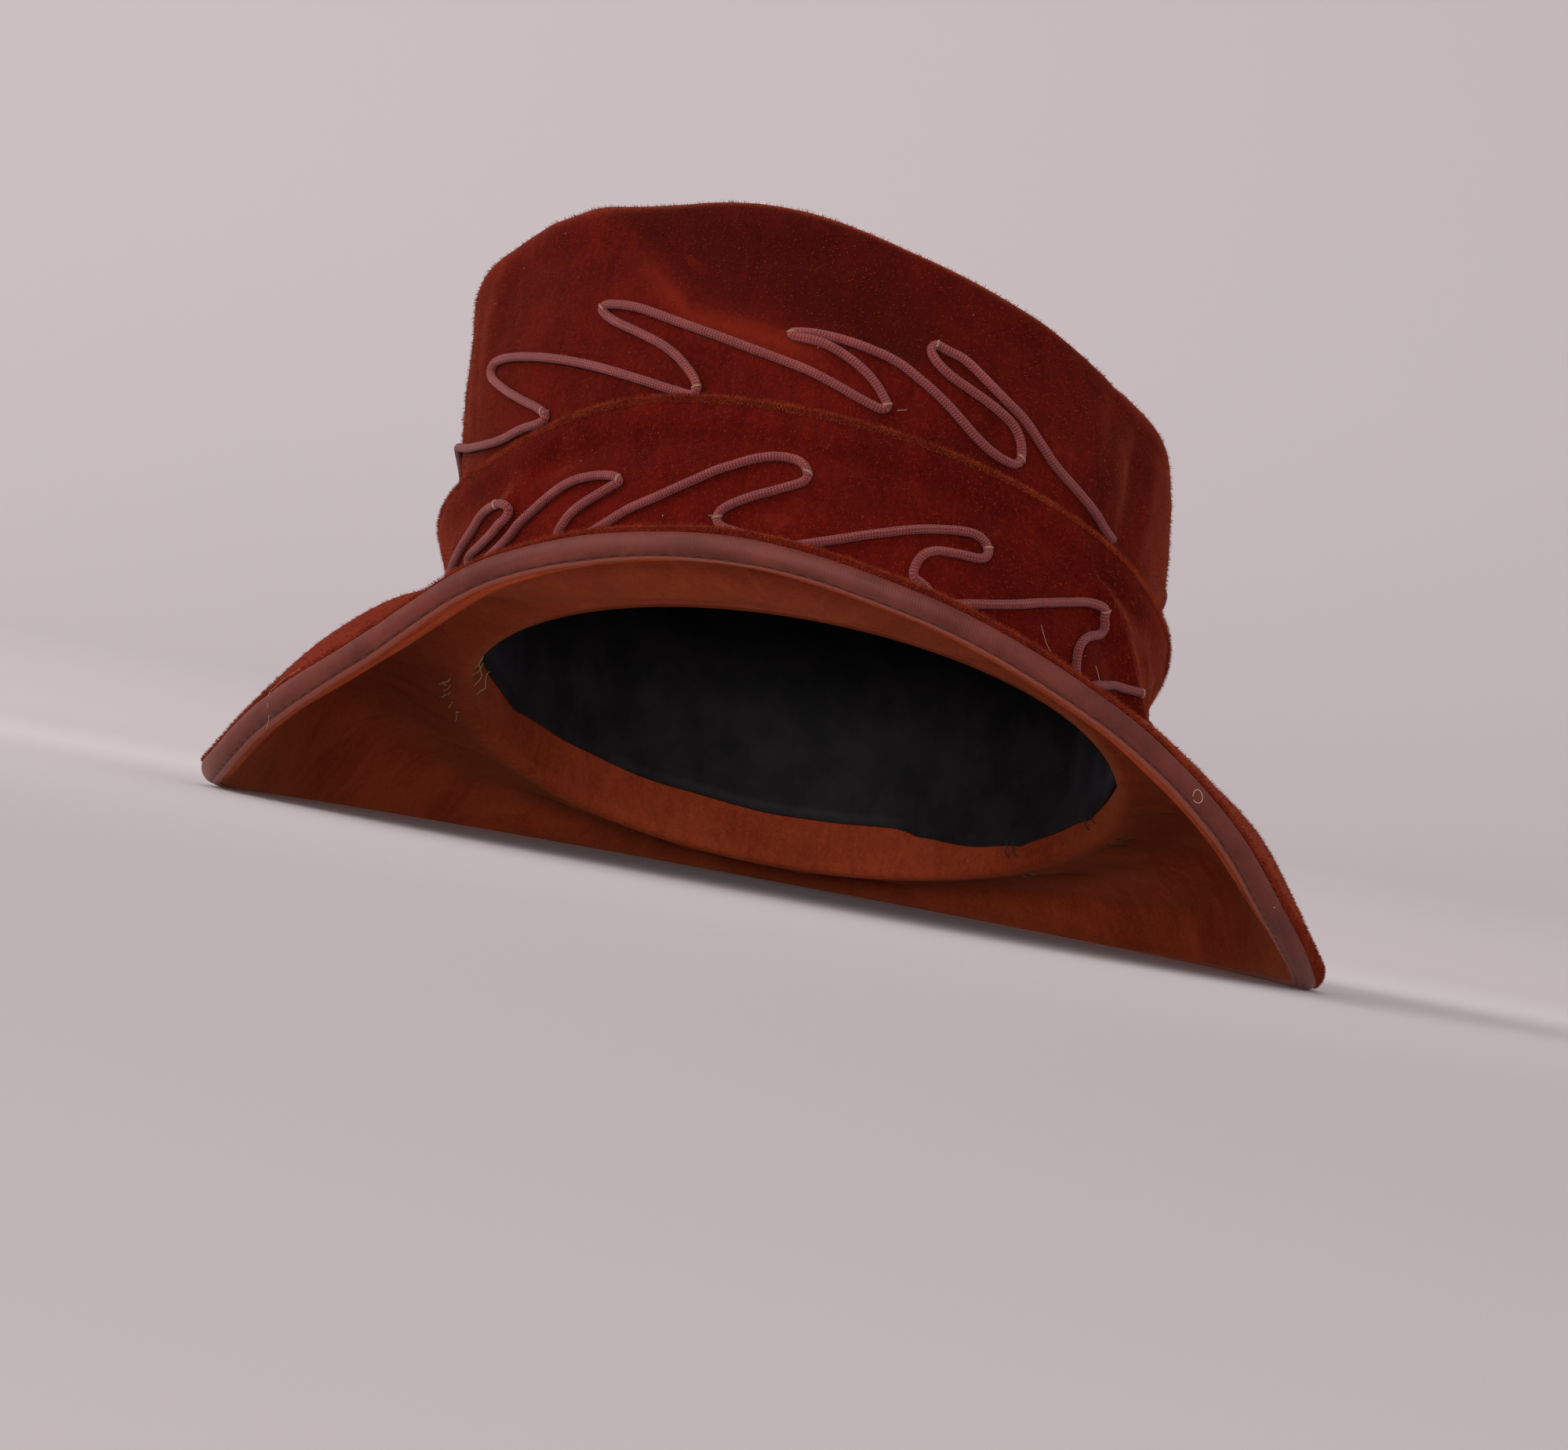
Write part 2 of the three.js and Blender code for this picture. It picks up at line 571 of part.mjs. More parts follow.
// Under layer: a collar turned up inside the crown, the underside, and the inner half of the roll
function brimFacingSection(azimuth) {
  const frame = brimFrame(azimuth);
  const start = -90 - frame.fall;
  const end = facingEnd(azimuth);
  const line = (depth) => {
    const collarDepth = CROWN_WALL + GAP + depth;
    const below = GAP + 0.05 + BRIM_WALL + 1.5 * GAP + depth;
    const collar = [COLLAR_SHARE, 0];
    const body = BRIM_LINE.map((share) => {
      const thick = 2 * ROLL_RADIUS - 2 * BRIM_WALL - GAP;
      const swell = thick * smoothStep(0.62, 1, share);
      return brimPoint(azimuth, share, BRIM_WALL + GAP + depth + swell);
    });
    return [
      ...collar.map((share) => crownOffset(azimuth, share, -collarDepth)),
      crownOffset(azimuth, 0, -collarDepth).addScaledVector(CROWN_AXIS, -below),
      brimForm(azimuth, 0).addScaledVector(CROWN_AXIS, -BRIM_WALL - 2 * GAP - depth),
      ...body.map((point) => rested(point, BRIM_WALL - depth)),
      rested(rollPoint(frame, (2 * start + 3 * end) / 5, ROLL_RADIUS - BRIM_WALL + depth), BRIM_WALL - depth),
      rested(rollPoint(frame, end, ROLL_RADIUS - BRIM_WALL + depth), BRIM_WALL - depth),
    ];
  };
  return outline(line(BRIM_WALL), line(0));
}

function bindingSection(azimuth) {
  const frame = brimFrame(azimuth);
  const tape = around(BRIM_ROWS, "tape", azimuth);
  const first = Math.min(tape + BINDING_HALF_ANGLE, 90 - frame.fall - 6) - 6;
  const last = Math.max(tape - BINDING_HALF_ANGLE + 1, facingEnd(azimuth) + 5);
  const angles = [first, tape, last];
  const visible = angles.map((angle) => rested(rollPoint(frame, angle, ROLL_RADIUS), 0));
  const hidden = angles.map((angle) => rested(rollPoint(frame, angle, ROLL_RADIUS - BINDING_WALL), BINDING_WALL - 0.05));
  return outline(visible, hidden);
}

// Smooth line through the rows of a cord on the unrolled cloth, sampled finely
function clothLine(rows, shareRate, closed) {
  const points = rows.map((row) => new THREE.Vector3(row.azimuth * GIRTH_RATE, row.share * shareRate, 0));
  if (closed) {
    const first = points[0].clone();
    first.x += 360 * GIRTH_RATE;
    points.push(first);
  }
  const curve = new THREE.CatmullRomCurve3(points, false, "centripetal");
  const count = Math.ceil(curve.getLength());
  const fine = curve.getSpacedPoints(count);
  const kept = [fine[0]];
  let length = 0;
  let bend = 0;
  for (let k = 1; k < fine.length - 1; k += 1) {
    const before = fine[k].clone().sub(fine[k - 1]);
    const after = fine[k + 1].clone().sub(fine[k]);
    length += before.length();
    bend += before.angleTo(after) / DEGREE;
    if (length >= CORD_STEP || bend >= CORD_BEND) {
      kept.push(fine[k]);
      length = 0;
      bend = 0;
    }
  }
  if (length < 2 && kept.length > 2) kept.pop();
  if (!closed) kept.push(fine[fine.length - 1]);
  return kept.map((point) => ({ azimuth: point.x / GIRTH_RATE, share: point.y / shareRate }));
}

// Place on the faceted cloth at an azimuth and share, between the lines of its mesh
function onCloth(surface, lines, azimuth, share) {
  const step = 360 / AROUND;
  const low = Math.floor((azimuth + 180) / step);
  const t = (azimuth + 180) / step - low;
  let j = 0;
  while (j < lines.length - 2 && lines[j + 1] <= share) j += 1;
  const s = (share - lines[j]) / (lines[j + 1] - lines[j]);
  const corner = (di, dj) => surface(azimuthAt(low + di), lines[j + dj]);
  const bottom = corner(0, 0).lerp(corner(1, 0), t);
  const top = corner(0, 1).lerp(corner(1, 1), t);
  const round = corner(1, 0).sub(corner(0, 0)).lerp(corner(1, 1).sub(corner(0, 1)), s);
  const up = corner(0, 1).sub(corner(0, 0)).lerp(corner(1, 1).sub(corner(1, 0)), t);
  return { point: bottom.lerp(top, s), out: round.cross(up).normalize() };
}

// Round cord sewn along a line on the cloth
function cord(surface, lines, places, closed) {
  const spots = places.map((place) => {
    const spot = onCloth(surface, lines, place.azimuth, place.share);
    spot.point.addScaledVector(spot.out, CORD_RADIUS + CORD_LIFT);
    return spot;
  });
  const n = spots.length;
  const positions = [];
  const indices = [];
  spots.forEach((spot, i) => {
    const before = spots[closed ? (i + n - 1) % n : Math.max(0, i - 1)].point;
    const after = spots[closed ? (i + 1) % n : Math.min(n - 1, i + 1)].point;
    const ahead = after.clone().sub(before).normalize();
    const side = ahead.clone().cross(spot.out).normalize();
    const out = side.clone().cross(ahead).normalize();
    for (let k = 0; k < CORD_SIDES; k += 1) {
      const angle = ((k + 0.5) / CORD_SIDES) * 2 * Math.PI;
      const point = spot.point.clone()
        .addScaledVector(side, CORD_RADIUS * Math.cos(angle))
        .addScaledVector(out, CORD_RADIUS * Math.sin(angle));
      positions.push(point.x, point.y, point.z);
    }
  });
  const last = closed ? n : n - 1;
  for (let i = 0; i < last; i += 1) {
    const next = (i + 1) % n;
    for (let k = 0; k < CORD_SIDES; k += 1) {
      const m = (k + 1) % CORD_SIDES;
      indices.push(i * CORD_SIDES + k, next * CORD_SIDES + k, next * CORD_SIDES + m);
      indices.push(i * CORD_SIDES + k, next * CORD_SIDES + m, i * CORD_SIDES + m);
    }
  }
  if (!closed) {
    for (let k = 1; k < CORD_SIDES - 1; k += 1) {
      indices.push(0, k, k + 1);
      const base = (n - 1) * CORD_SIDES;
      indices.push(base, base + k + 1, base + k);
    }
  }
  return { positions, indices };
}

// Rows of the plain zigzag round the back, between two azimuths
function backRows(pattern, from, loops) {
  const rows = [];
  for (let k = 0; k < loops; k += 1) {
    for (const row of pattern) rows.push({ azimuth: from + k * BACK_STEP + row.ahead, share: row.share });
  }
  return rows;
}

function upperCordMesh() {
  const tuck = [{ azimuth: -296, share: 0.238 }, { azimuth: -294, share: 0.262 }, { azimuth: -284, share: 0.318 }];
  const rows = [...tuck, ...backRows(UPPER_BACK, -262, 4), { azimuth: -94, share: 0.322 }, ...UPPER_CORD];
  const surface = (azimuth, share) => crownSkin(azimuth, share, 0);
  return cord(surface, CROWN_OUTER, clothLine(rows, CROWN_RATE, false), false);
}

function lowerCordMesh() {
  const rows = [...LOWER_CORD, ...backRows(LOWER_BACK, 53, 5)];
  const surface = (azimuth, rise) => bandPoint(azimuth, rise, 1);
  return cord(surface, BAND_OUTER, clothLine(rows, BAND_RATE, true), true);
}

function signedVolume(mesh) {
  let volume = 0;
  const corner = (k) => new THREE.Vector3().fromArray(mesh.positions, 3 * mesh.indices[k]);
  for (let k = 0; k < mesh.indices.length; k += 3) {
    volume += corner(k).dot(corner(k + 1).cross(corner(k + 2))) / 6;
  }
  return volume;
}

const group = new THREE.Group();
group.name = "cloche_hat";

function add(name, mesh, color) {
  if (signedVolume(mesh) < 0) {
    for (let k = 0; k < mesh.indices.length; k += 3) {
      const held = mesh.indices[k + 1];
      mesh.indices[k + 1] = mesh.indices[k + 2];
      mesh.indices[k + 2] = held;
    }
  }
  const geometry = new THREE.BufferGeometry();
  geometry.setAttribute("position", new THREE.Float32BufferAttribute(mesh.positions, 3));
  geometry.setIndex(mesh.indices);
  geometry.computeVertexNormals();
  const material = new THREE.MeshStandardMaterial({ color, roughness: 0.9, metalness: 0 });
  const piece = new THREE.Mesh(geometry, material);
  piece.name = name;
  group.add(piece);
}

add("crown", crownMesh(), VELVET);
add("drape_band", bandMesh(), BAND_VELVET);
add("brim_top", ring(brimTopSection), VELVET);
add("brim_facing", ring(brimFacingSection), FACING_VELVET);
add("edge_binding", ring(bindingSection), BINDING_RIBBON);
add("lining", liningMesh(), LINING_CLOTH);
add("upper_cord", upperCordMesh(), CORD_ROSE);
add("lower_cord", lowerCordMesh(), CORD_ROSE);

// The origin lies under the middle of the outline, on the surface the hat rests on.
const bounds = new THREE.Box3().setFromObject(group);
for (const piece of group.children) {
  piece.geometry.translate(-(bounds.min.x + bounds.max.x) / 2, -(bounds.min.y + bounds.max.y) / 2, -bounds.min.z);
}

export default group;
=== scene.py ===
import math

import bpy
import numpy as np
from mathutils import Matrix, Vector


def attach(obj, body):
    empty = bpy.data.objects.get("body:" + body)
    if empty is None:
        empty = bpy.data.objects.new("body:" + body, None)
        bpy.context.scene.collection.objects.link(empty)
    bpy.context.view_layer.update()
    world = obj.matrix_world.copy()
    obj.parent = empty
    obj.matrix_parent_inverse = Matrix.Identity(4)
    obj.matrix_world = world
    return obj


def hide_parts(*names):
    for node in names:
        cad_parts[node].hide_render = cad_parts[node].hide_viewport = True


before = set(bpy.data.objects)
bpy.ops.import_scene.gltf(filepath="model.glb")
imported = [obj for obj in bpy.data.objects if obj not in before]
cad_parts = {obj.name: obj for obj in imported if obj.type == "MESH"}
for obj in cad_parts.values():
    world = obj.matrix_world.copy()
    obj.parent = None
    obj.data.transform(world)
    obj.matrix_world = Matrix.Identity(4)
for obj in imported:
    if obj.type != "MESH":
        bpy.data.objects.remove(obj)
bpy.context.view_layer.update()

# Camera at the photograph's viewing angle. It comes first.
CAMERA_PLACE = (0.0, -1.100, 0.020)
CAMERA_PITCH = 1.229
CAMERA_YAW = 0.07
CAMERA_ROLL = 10.54
CAMERA_LENS = 36 * 5280 / 1999


def make_camera():
    """Camera with the photograph's pitch, yaw and roll."""
    data = bpy.data.cameras.new("camera")
    data.sensor_width = 36
    data.lens = CAMERA_LENS
    data.clip_start = 0.01
    data.clip_end = 50
    camera = bpy.data.objects.new("camera", data)
    bpy.context.scene.collection.objects.link(camera)
    pitch = math.radians(CAMERA_PITCH)
    yaw = math.radians(CAMERA_YAW)
    roll = math.radians(CAMERA_ROLL)
    ahead = Vector((-math.sin(yaw) * math.cos(pitch), math.cos(yaw) * math.cos(pitch), math.sin(pitch)))
    level = Vector((math.cos(yaw), math.sin(yaw), 0))
    above = level.cross(ahead)
    right = level * math.cos(roll) + above * math.sin(roll)
    up = above * math.cos(roll) - level * math.sin(roll)
    turn = Matrix((right, up, -ahead)).transposed()
    camera.matrix_world = Matrix.Translation(CAMERA_PLACE) @ turn.to_4x4()
    bpy.context.scene.camera = camera


make_camera()

# Sizes in millimetres, the same as the solids.
HEAD_WIDTH = 182
HEAD_LENGTH = 198
CROWN_BULGE = 5.2
CROWN_HEIGHT = 116
CROWN_TILT = 19
CROWN_LEAN = -10
CROWN_SHIFT = 2
SEAM_HEIGHT = 40
SLOUCH = 0.136
SLOUCH_FROM = -73
SLOUCH_SPAN = 120
BRIM_SPAN = 300
BRIM_LIFT = 69
ROLL_RADIUS = 4.2
ROLL_SINK = 0.35
CROWN_WALL = 2
BRIM_WALL = 1.2
LINING_WALL = 1
BAND_WALL = 2.6
GAP = 0.3
SEAM_GAP = GAP + 0.05
FOLD_RISE = 0.955
UNDER_SINK = 0.45
BINDING_HALF_ANGLE = 45
COLLAR_SHARE = 0.11
LINING_SHARE = 0.06
CORD_RADIUS = 1.2
CORD_SEAT = 0.05
CORD_STEP = 0.45
CORD_SIDES = 10
GIRTH_RATE = math.pi * (HEAD_WIDTH + HEAD_LENGTH) / 720
CROWN_RATE = 1.345 * CROWN_HEIGHT
BAND_RATE = 0.362 * CROWN_HEIGHT
BRIM_RATE = (BRIM_SPAN - HEAD_WIDTH) / 2
BRIM_GIRTH_RATE = math.pi * (BRIM_SPAN + HEAD_LENGTH) / 720
DEGREE = math.pi / 180
STITCH_STEP = 3.4
# Widths of the ribbon above and below its stitches
RIBBON_MAIN = 6
RIBBON_STRIP = 2.4
# The solids are centred on their outline, which moves them by this much.
CENTRE = np.array([0.0, 0.109, 0.0])

CROWN_ROWS = {
    "share": [0.0, 0.12, 0.26, 0.42, 0.56, 0.67, 0.77, 0.88, 1.0],
    "height": [0.0, 0.15, 0.345, 0.57, 0.78, 0.9, 0.945, 0.99, 0.98],
    "spread": [-0.06, -0.05, -0.024, 0.006, 0.0, -0.02, -0.16, -0.54, -1.0],
}
BRIM_ROWS = {
    "azimuth": [-180, -135, -105, -90, -75, -60, -45, -30, -10, 10, 30, 45, 60, 75, 90, 105, 135],
    "lift": [0, 0, 0, 0.01, 0.06, 0.28, 0.545, 0.895, 1.08, 1.01, 0.775, 0.515, 0.225, 0.05, 0, 0, 0],
    "root": [-4, 4, 16, 20, 18, 22, 9, 2, 0, 0, 2, 5, 6, 12, 18, 16, 4],
    "fall": [10, 32, 57, 61, 59, 45, 30, 12, 3, 3, 12, 30, 44, 56, 58, 56, 32],
    "hold": [
        0.4, 0.45, 0.49, 0.48, 0.42, 0.5, 0.48, 0.42, 0.35, 0.35, 0.42, 0.46, 0.42, 0.37, 0.45, 0.48, 0.45,
    ],
    "belly": [
        0.4, 0.5, 0.69, 0.66, 0.48, 0.47, 0.45, 0.42, 0.35, 0.35, 0.42, 0.48, 0.55, 0.58, 0.64, 0.68, 0.5,
    ],
    "tape": [-20, -20, -25, -30, -30, -25, -15, -9, -10, -12, -14, -24, -55, -82, -92, -80, -42],
}
BAND_ROWS = {
    "azimuth": [-180, -130, -90, -60, -30, 0, 30, 48, 62, 90, 130],
    "top": [0.35, 0.36, 0.367, 0.364, 0.42, 0.412, 0.384, 0.36, 0.335, 0.33, 0.34],
    "flare": [0.77, 0.92, 1.38, 1.15, 0.77, 0.69, 1.08, 1.46, 1.38, 0.54, 0.69],
}
BAND_PROFILE = {
    "share": [0.0, 0.2, 0.45, 0.66, 0.78, 0.9, 1.0],
    "swell": [-0.077, 0.115, 0.231, 0.077, -0.192, 0.192, 0.0],
}
# Soft folds: azimuth, share, direction of the long axis, then half length, half width and height as shares
CROWN_FOLDS = [
    (-49, 0.68, -30, 0.19, 0.052, -0.0172),
    (-27, 0.535, -24, 0.19, 0.06, -0.0112),
    (-22, 0.455, -12, 0.207, 0.043, 0.0095),
    (4, 0.485, 4, 0.224, 0.06, -0.0129),
    (-50, 0.74, -20, 0.138, 0.052, 0.0086),
    (47, 0.45, 76, 0.138, 0.052, 0.0086),
    (57, 0.44, 80, 0.155, 0.052, -0.0112),
    (-80, 0.5, 84, 0.19, 0.069, -0.0086),
    (118, 0.52, 20, 0.224, 0.069, -0.0121),
    (165, 0.5, -12, 0.259, 0.069, 0.0103),
    (-138, 0.56, 10, 0.224, 0.069, -0.0112),
]
# Short creases in the crown velvet, with half length, half width and height in millimetres
CREASES = [
    (-10, 0.7, 0, 26, 12, 2.6),
    (-75, 0.61, 90, 26, 20, 3.8),
    (66, 0.615, 90, 24, 20, 2.8),
    (-52, 0.7, -25, 20, 12, 3.6),
    (-2, 0.56, -10, 42, 13, -1.6),
    (-66, 0.56, 70, 20, 5, 0.7),
    (24, 0.6, 24, 26, 7, 0.8),
    (48, 0.5, 80, 26, 3.2, -0.8),
    (55, 0.44, 82, 22, 3.0, -0.8),
    (61, 0.42, 84, 22, 3.4, 0.6),
    (-72, 0.45, 86, 20, 3.4, -0.5),
    (95, 0.42, 70, 22, 3.2, -0.8),
    (140, 0.46, 24, 24, 3.2, -0.7),
    (-165, 0.48, -16, 24, 3.4, -0.7),
    (-118, 0.46, 40, 22, 3.2, -0.7),
]
# Folds lapped over the cloth beside them: places as (share, azimuth), then the gentle and the steep
# half width and the height in millimetres
CROWN_LAP = ([(0.425, -4), (0.447, -13), (0.475, -22.5), (0.55, -31), (0.62, -39), (0.68, -47)], 14, 7, 1.5)
BAND_LAPS = [
    ([(0.1, 74), (0.23, 68), (0.38, 59.5), (0.56, 52.5), (0.74, 45.5), (0.86, 41)], 9, 1.2, 2.1),
    ([(0.1, 84), (0.4, 76), (0.75, 66)], 7, 2.0, 1.0),
    ([(0.45, -58), (0.7, -53), (0.92, -44)], 6, 2.4, 0.9),
    ([(0.2, 170), (0.5, 166), (0.85, 158)], 8, 1.8, 1.0),
]
BAND_FOLDS = [
    (-53, 0.78, 52, 0.078, 0.034, 0.31),
    (-47, 0.66, 50, 0.103, 0.034, -0.31),
    (57, 0.52, -29, 0.19, 0.034, 0.62),
    (50, 0.42, -29, 0.172, 0.034, -0.35),
    (28, 0.34, -10, 0.19, 0.043, 0.27),
    (112, 0.5, 18, 0.172, 0.043, 0.35),
    (160, 0.5, -14, 0.19, 0.043, 0.35),
    (-140, 0.46, 12, 0.207, 0.043, -0.31),
    (-102, 0.55, -14, 0.138, 0.043, 0.31),
]
BRIM_FOLDS = [
    (118, 0.45, 82, 0.067, 0.033, -0.0053),
    (134, 0.5, 86, 0.067, 0.033, 0.0043),
    (156, 0.5, 90, 0.06, 0.04, -0.003),
    (-150, 0.5, 96, 0.06, 0.04, 0.003),
    (-112, 0.5, 84, 0.073, 0.04, -0.004),
    (-70, 0.55, 96, 0.06, 0.03, 0.003),
    (66, 0.5, 84, 0.06, 0.033, -0.003),
]
# Couched cords: azimuth and share of each bend, as on the solids but more sharply pinched
UPPER_CORD = [
    (-104, 0.325), (-94, 0.272), (-86, 0.262), (-84, 0.275), (-90, 0.312), (-99, 0.36),
    (-98, 0.395), (-91, 0.412), (-73.8, 0.345), (-62.5, 0.315), (-55.1, 0.313), (-50.4, 0.312),
    (-49.4, 0.319), (-51, 0.334), (-56.1, 0.365), (-61.8, 0.403), (-65.3, 0.435), (-64.9, 0.447),
    (-62, 0.448), (-51.4, 0.42), (-41.7, 0.389), (-32.4, 0.355), (-24.8, 0.329), (-21.9, 0.323),
    (-21.4, 0.335), (-23.2, 0.366), (-26.5, 0.397), (-31.7, 0.426), (-36.9, 0.453), (-38.7, 0.469),
    (-38.1, 0.474), (-36.1, 0.473), (-32, 0.464), (-25.5, 0.441), (-16.6, 0.412), (-9.6, 0.392),
    (-4.7, 0.379), (0.4, 0.36), (3.7, 0.348), (6.6, 0.341), (7.3, 0.346), (6.5, 0.362),
    (4.7, 0.385), (1.5, 0.409), (-1.9, 0.423), (-5, 0.428), (-7.8, 0.431), (-8, 0.434),
    (-6.6, 0.435), (-3.5, 0.44), (0.4, 0.44), (4, 0.435), (8.1, 0.426), (11.9, 0.407),
    (14.6, 0.392), (18.1, 0.368), (21.2, 0.347), (24.5, 0.332), (27.3, 0.328), (28.7, 0.331),
    (29.2, 0.346), (28.7, 0.371), (27.1, 0.393), (23.8, 0.408), (20.2, 0.42), (16.6, 0.432),
    (14.2, 0.448), (13.2, 0.468), (14.2, 0.482), (15.3, 0.478), (18.3, 0.473), (21.9, 0.451),
    (25.3, 0.431), (28.6, 0.414), (32.2, 0.386), (36.1, 0.36), (41.3, 0.342), (45.9, 0.328),
    (48.7, 0.313), (51, 0.308),
]
LOWER_CORD = [
    (-72.7, 0.528), (-66.8, 0.611), (-61.9, 0.676), (-56.6, 0.659), (-53.9, 0.613), (-54.7, 0.565),
    (-57.7, 0.516), (-63, 0.489), (-67.6, 0.461), (-67.3, 0.403), (-63, 0.372), (-55.5, 0.426),
    (-52.2, 0.495), (-46.4, 0.565), (-41.2, 0.615), (-37.2, 0.618), (-32.7, 0.588), (-31.9, 0.561),
    (-33.1, 0.543), (-37, 0.497), (-40.1, 0.451), (-42, 0.399), (-43.4, 0.337), (-42.3, 0.276),
    (-38.9, 0.285), (-35.3, 0.329), (-31, 0.397), (-26.2, 0.459), (-20.6, 0.543), (-15.7, 0.622),
    (-10.9, 0.688), (-7.1, 0.713), (-4.4, 0.696), (-3.4, 0.645), (-3.9, 0.609), (-7.1, 0.551),
    (-11.4, 0.487), (-14.9, 0.424), (-16.3, 0.37), (-16, 0.328), (-13.5, 0.297), (-9.3, 0.272),
    (-6, 0.252), (-4.7, 0.256), (-0.4, 0.31), (6, 0.395), (12.3, 0.489), (19, 0.568), (21.9, 0.59),
    (23.9, 0.563), (24.4, 0.509), (23.5, 0.466), (19.3, 0.439), (16.3, 0.416), (14.2, 0.364),
    (13.3, 0.287), (13.3, 0.237), (14.9, 0.214), (16.3, 0.179), (17.6, 0.145), (19.2, 0.156),
    (23.3, 0.206), (30.5, 0.303), (40.5, 0.489), (45.1, 0.578), (47.5, 0.588), (47.8, 0.545),
    (48.8, 0.503), (48.6, 0.447), (45.1, 0.345), (43.7, 0.256), (44, 0.137), (45.1, 0.073),
    (47.4, 0.079), (49.6, 0.123), (56.4, 0.245), (60.6, 0.308), (61.7, 0.318),
]
# Thread tacks across the cords: cord, azimuth, share and turn from straight across
TACKS = [
    ("upper", -50.3, 0.326, 35), ("upper", -40.2, 0.48, -20), ("upper", 7.6, 0.349, 10),
    ("upper", -8.0, 0.44, 25),
    ("upper", 30.5, 0.34, -20), ("upper", -21.9, 0.334, 15), ("upper", 13.8, 0.483, -30),
    ("lower", -32.2, 0.567, 30), ("lower", -3.6, 0.655, -35), ("lower", -16.5, 0.364, 20),
    ("lower", 47.8, 0.6, -15), ("lower", 61.5, 0.31, 15), ("lower", -57, 0.64, 20),
    ("lower", 25.2, 0.55, -10),
]
# Where the cords begin out of sight, and the bends they repeat round the back
UPPER_START = [
    (-296, 0.238), (-292, 0.262), (-282, 0.29), (-266, 0.315), (-260, 0.34), (-264, 0.408), (-267, 0.44),
    (-265, 0.466), (-248, 0.4),
]
UPPER_BACK = [(0, 0.325), (3, 0.35), (-10, 0.408), (-24, 0.44), (-23, 0.466), (12, 0.4)]
LOWER_START = [
    (-277, 0.2), (-275, 0.36), (-269, 0.62), (-265, 0.56), (-269, 0.42), (-272.5, 0.28), (-269, 0.18),
]
LOWER_BACK = [(18, 0.4), (36, 0.62), (40, 0.56), (34, 0.4), (30, 0.26), (35, 0.18)]
BACK_STEP = 44


def floats(*values):
    """The values as arrays of numbers that all have one shape."""
    return np.broadcast_arrays(*(np.asarray(value, float) for value in values))


def row(low, high, count):
    return np.linspace(low, high, count)[None, :]


def hermite(low, high, low_slope, high_slope, t):
    return (
        (2 * t**3 - 3 * t**2 + 1) * low
        + (t**3 - 2 * t**2 + t) * low_slope
        + (-2 * t**3 + 3 * t**2) * high
        + (t**3 - t**2) * high_slope
    )


def around(rows, key, azimuth):
    """Value of a table column at an azimuth, smooth and closed round the head."""
    a = np.array(rows["azimuth"], float)
    v = np.array(rows[key], float)
    a = np.concatenate([a - 360, a, a + 360])
    v = np.concatenate([v, v, v])
    x = (np.asarray(azimuth, float) + 180) % 360 - 180
    i = np.clip(np.searchsorted(a, x, side="right") - 1, 1, len(a) - 3)
    h = a[i + 1] - a[i]
    low_slope = (v[i + 1] - v[i - 1]) / (a[i + 1] - a[i - 1]) * h
    high_slope = (v[i + 2] - v[i]) / (a[i + 2] - a[i]) * h
    return hermite(v[i], v[i + 1], low_slope, high_slope, (x - a[i]) / h)


def along(rows, key, share):
    """Value of a table column at a share from 0 to 1."""
    s = np.array(rows["share"], float)
    v = np.array(rows[key], float)
    slope = np.gradient(v, s)
    i = np.clip(np.searchsorted(s, share, side="right") - 1, 0, len(s) - 2)
    h = s[i + 1] - s[i]
    return hermite(v[i], v[i + 1], slope[i] * h, slope[i + 1] * h, (share - s[i]) / h)


def smooth_step(low, high, value):
    t = np.clip((value - low) / (high - low), 0, 1)
    return t * t * (3 - 2 * t)


def turn_from(azimuth, centre):
    """Signed difference of two azimuths, from -180 to 180."""
    return (np.asarray(azimuth, float) - centre + 180) % 360 - 180


def fold_height(folds, azimuth, share, girth_rate, share_rate, size):
    """Sum of the soft folds of a table at a place on the cloth, whose lengths are shares of a size."""
    total = 0.0
    for place, at, turn, length, width, height in folds:
        u = turn_from(azimuth, place) * girth_rate
        v = (share - at) * share_rate
        c = math.cos(turn * DEGREE)
        s = math.sin(turn * DEGREE)
        far = ((u * c + v * s) / (length * size)) ** 2 + ((v * c - u * s) / (width * size)) ** 2
        total = total + height * np.exp(-far)
    return total


def lapped_fold(azimuth, share, line, gentle, steep, height):
    """A fold lapped over the cloth beside it: it rises gently and drops steeply past the line.
    The line is a list of (share, azimuth), and it fades out past its ends."""
    shares = [p[0] for p in line]
    at = np.interp(share, shares, [p[1] for p in line])
    u = turn_from(azimuth, at) * GIRTH_RATE
    rise = np.where(u < 0, np.exp(-((u / gentle) ** 2)), np.exp(-((u / steep) ** 2)))
    span = shares[-1] - shares[0]
    fade = smooth_step(shares[0] - 0.15 * span, shares[0] + 0.2 * span, share)
    fade = fade * (1 - smooth_step(shares[-1] - 0.2 * span, shares[-1] + 0.15 * span, share))
    return height * fade * rise


def tilted(x, y, z):
    c = math.cos(CROWN_TILT * DEGREE)
    s = math.sin(CROWN_TILT * DEGREE)
    return np.stack([x, y * c + z * s, SEAM_HEIGHT - y * s + z * c], -1)


CROWN_AXIS = np.array([0, math.sin(CROWN_TILT * DEGREE), math.cos(CROWN_TILT * DEGREE)])


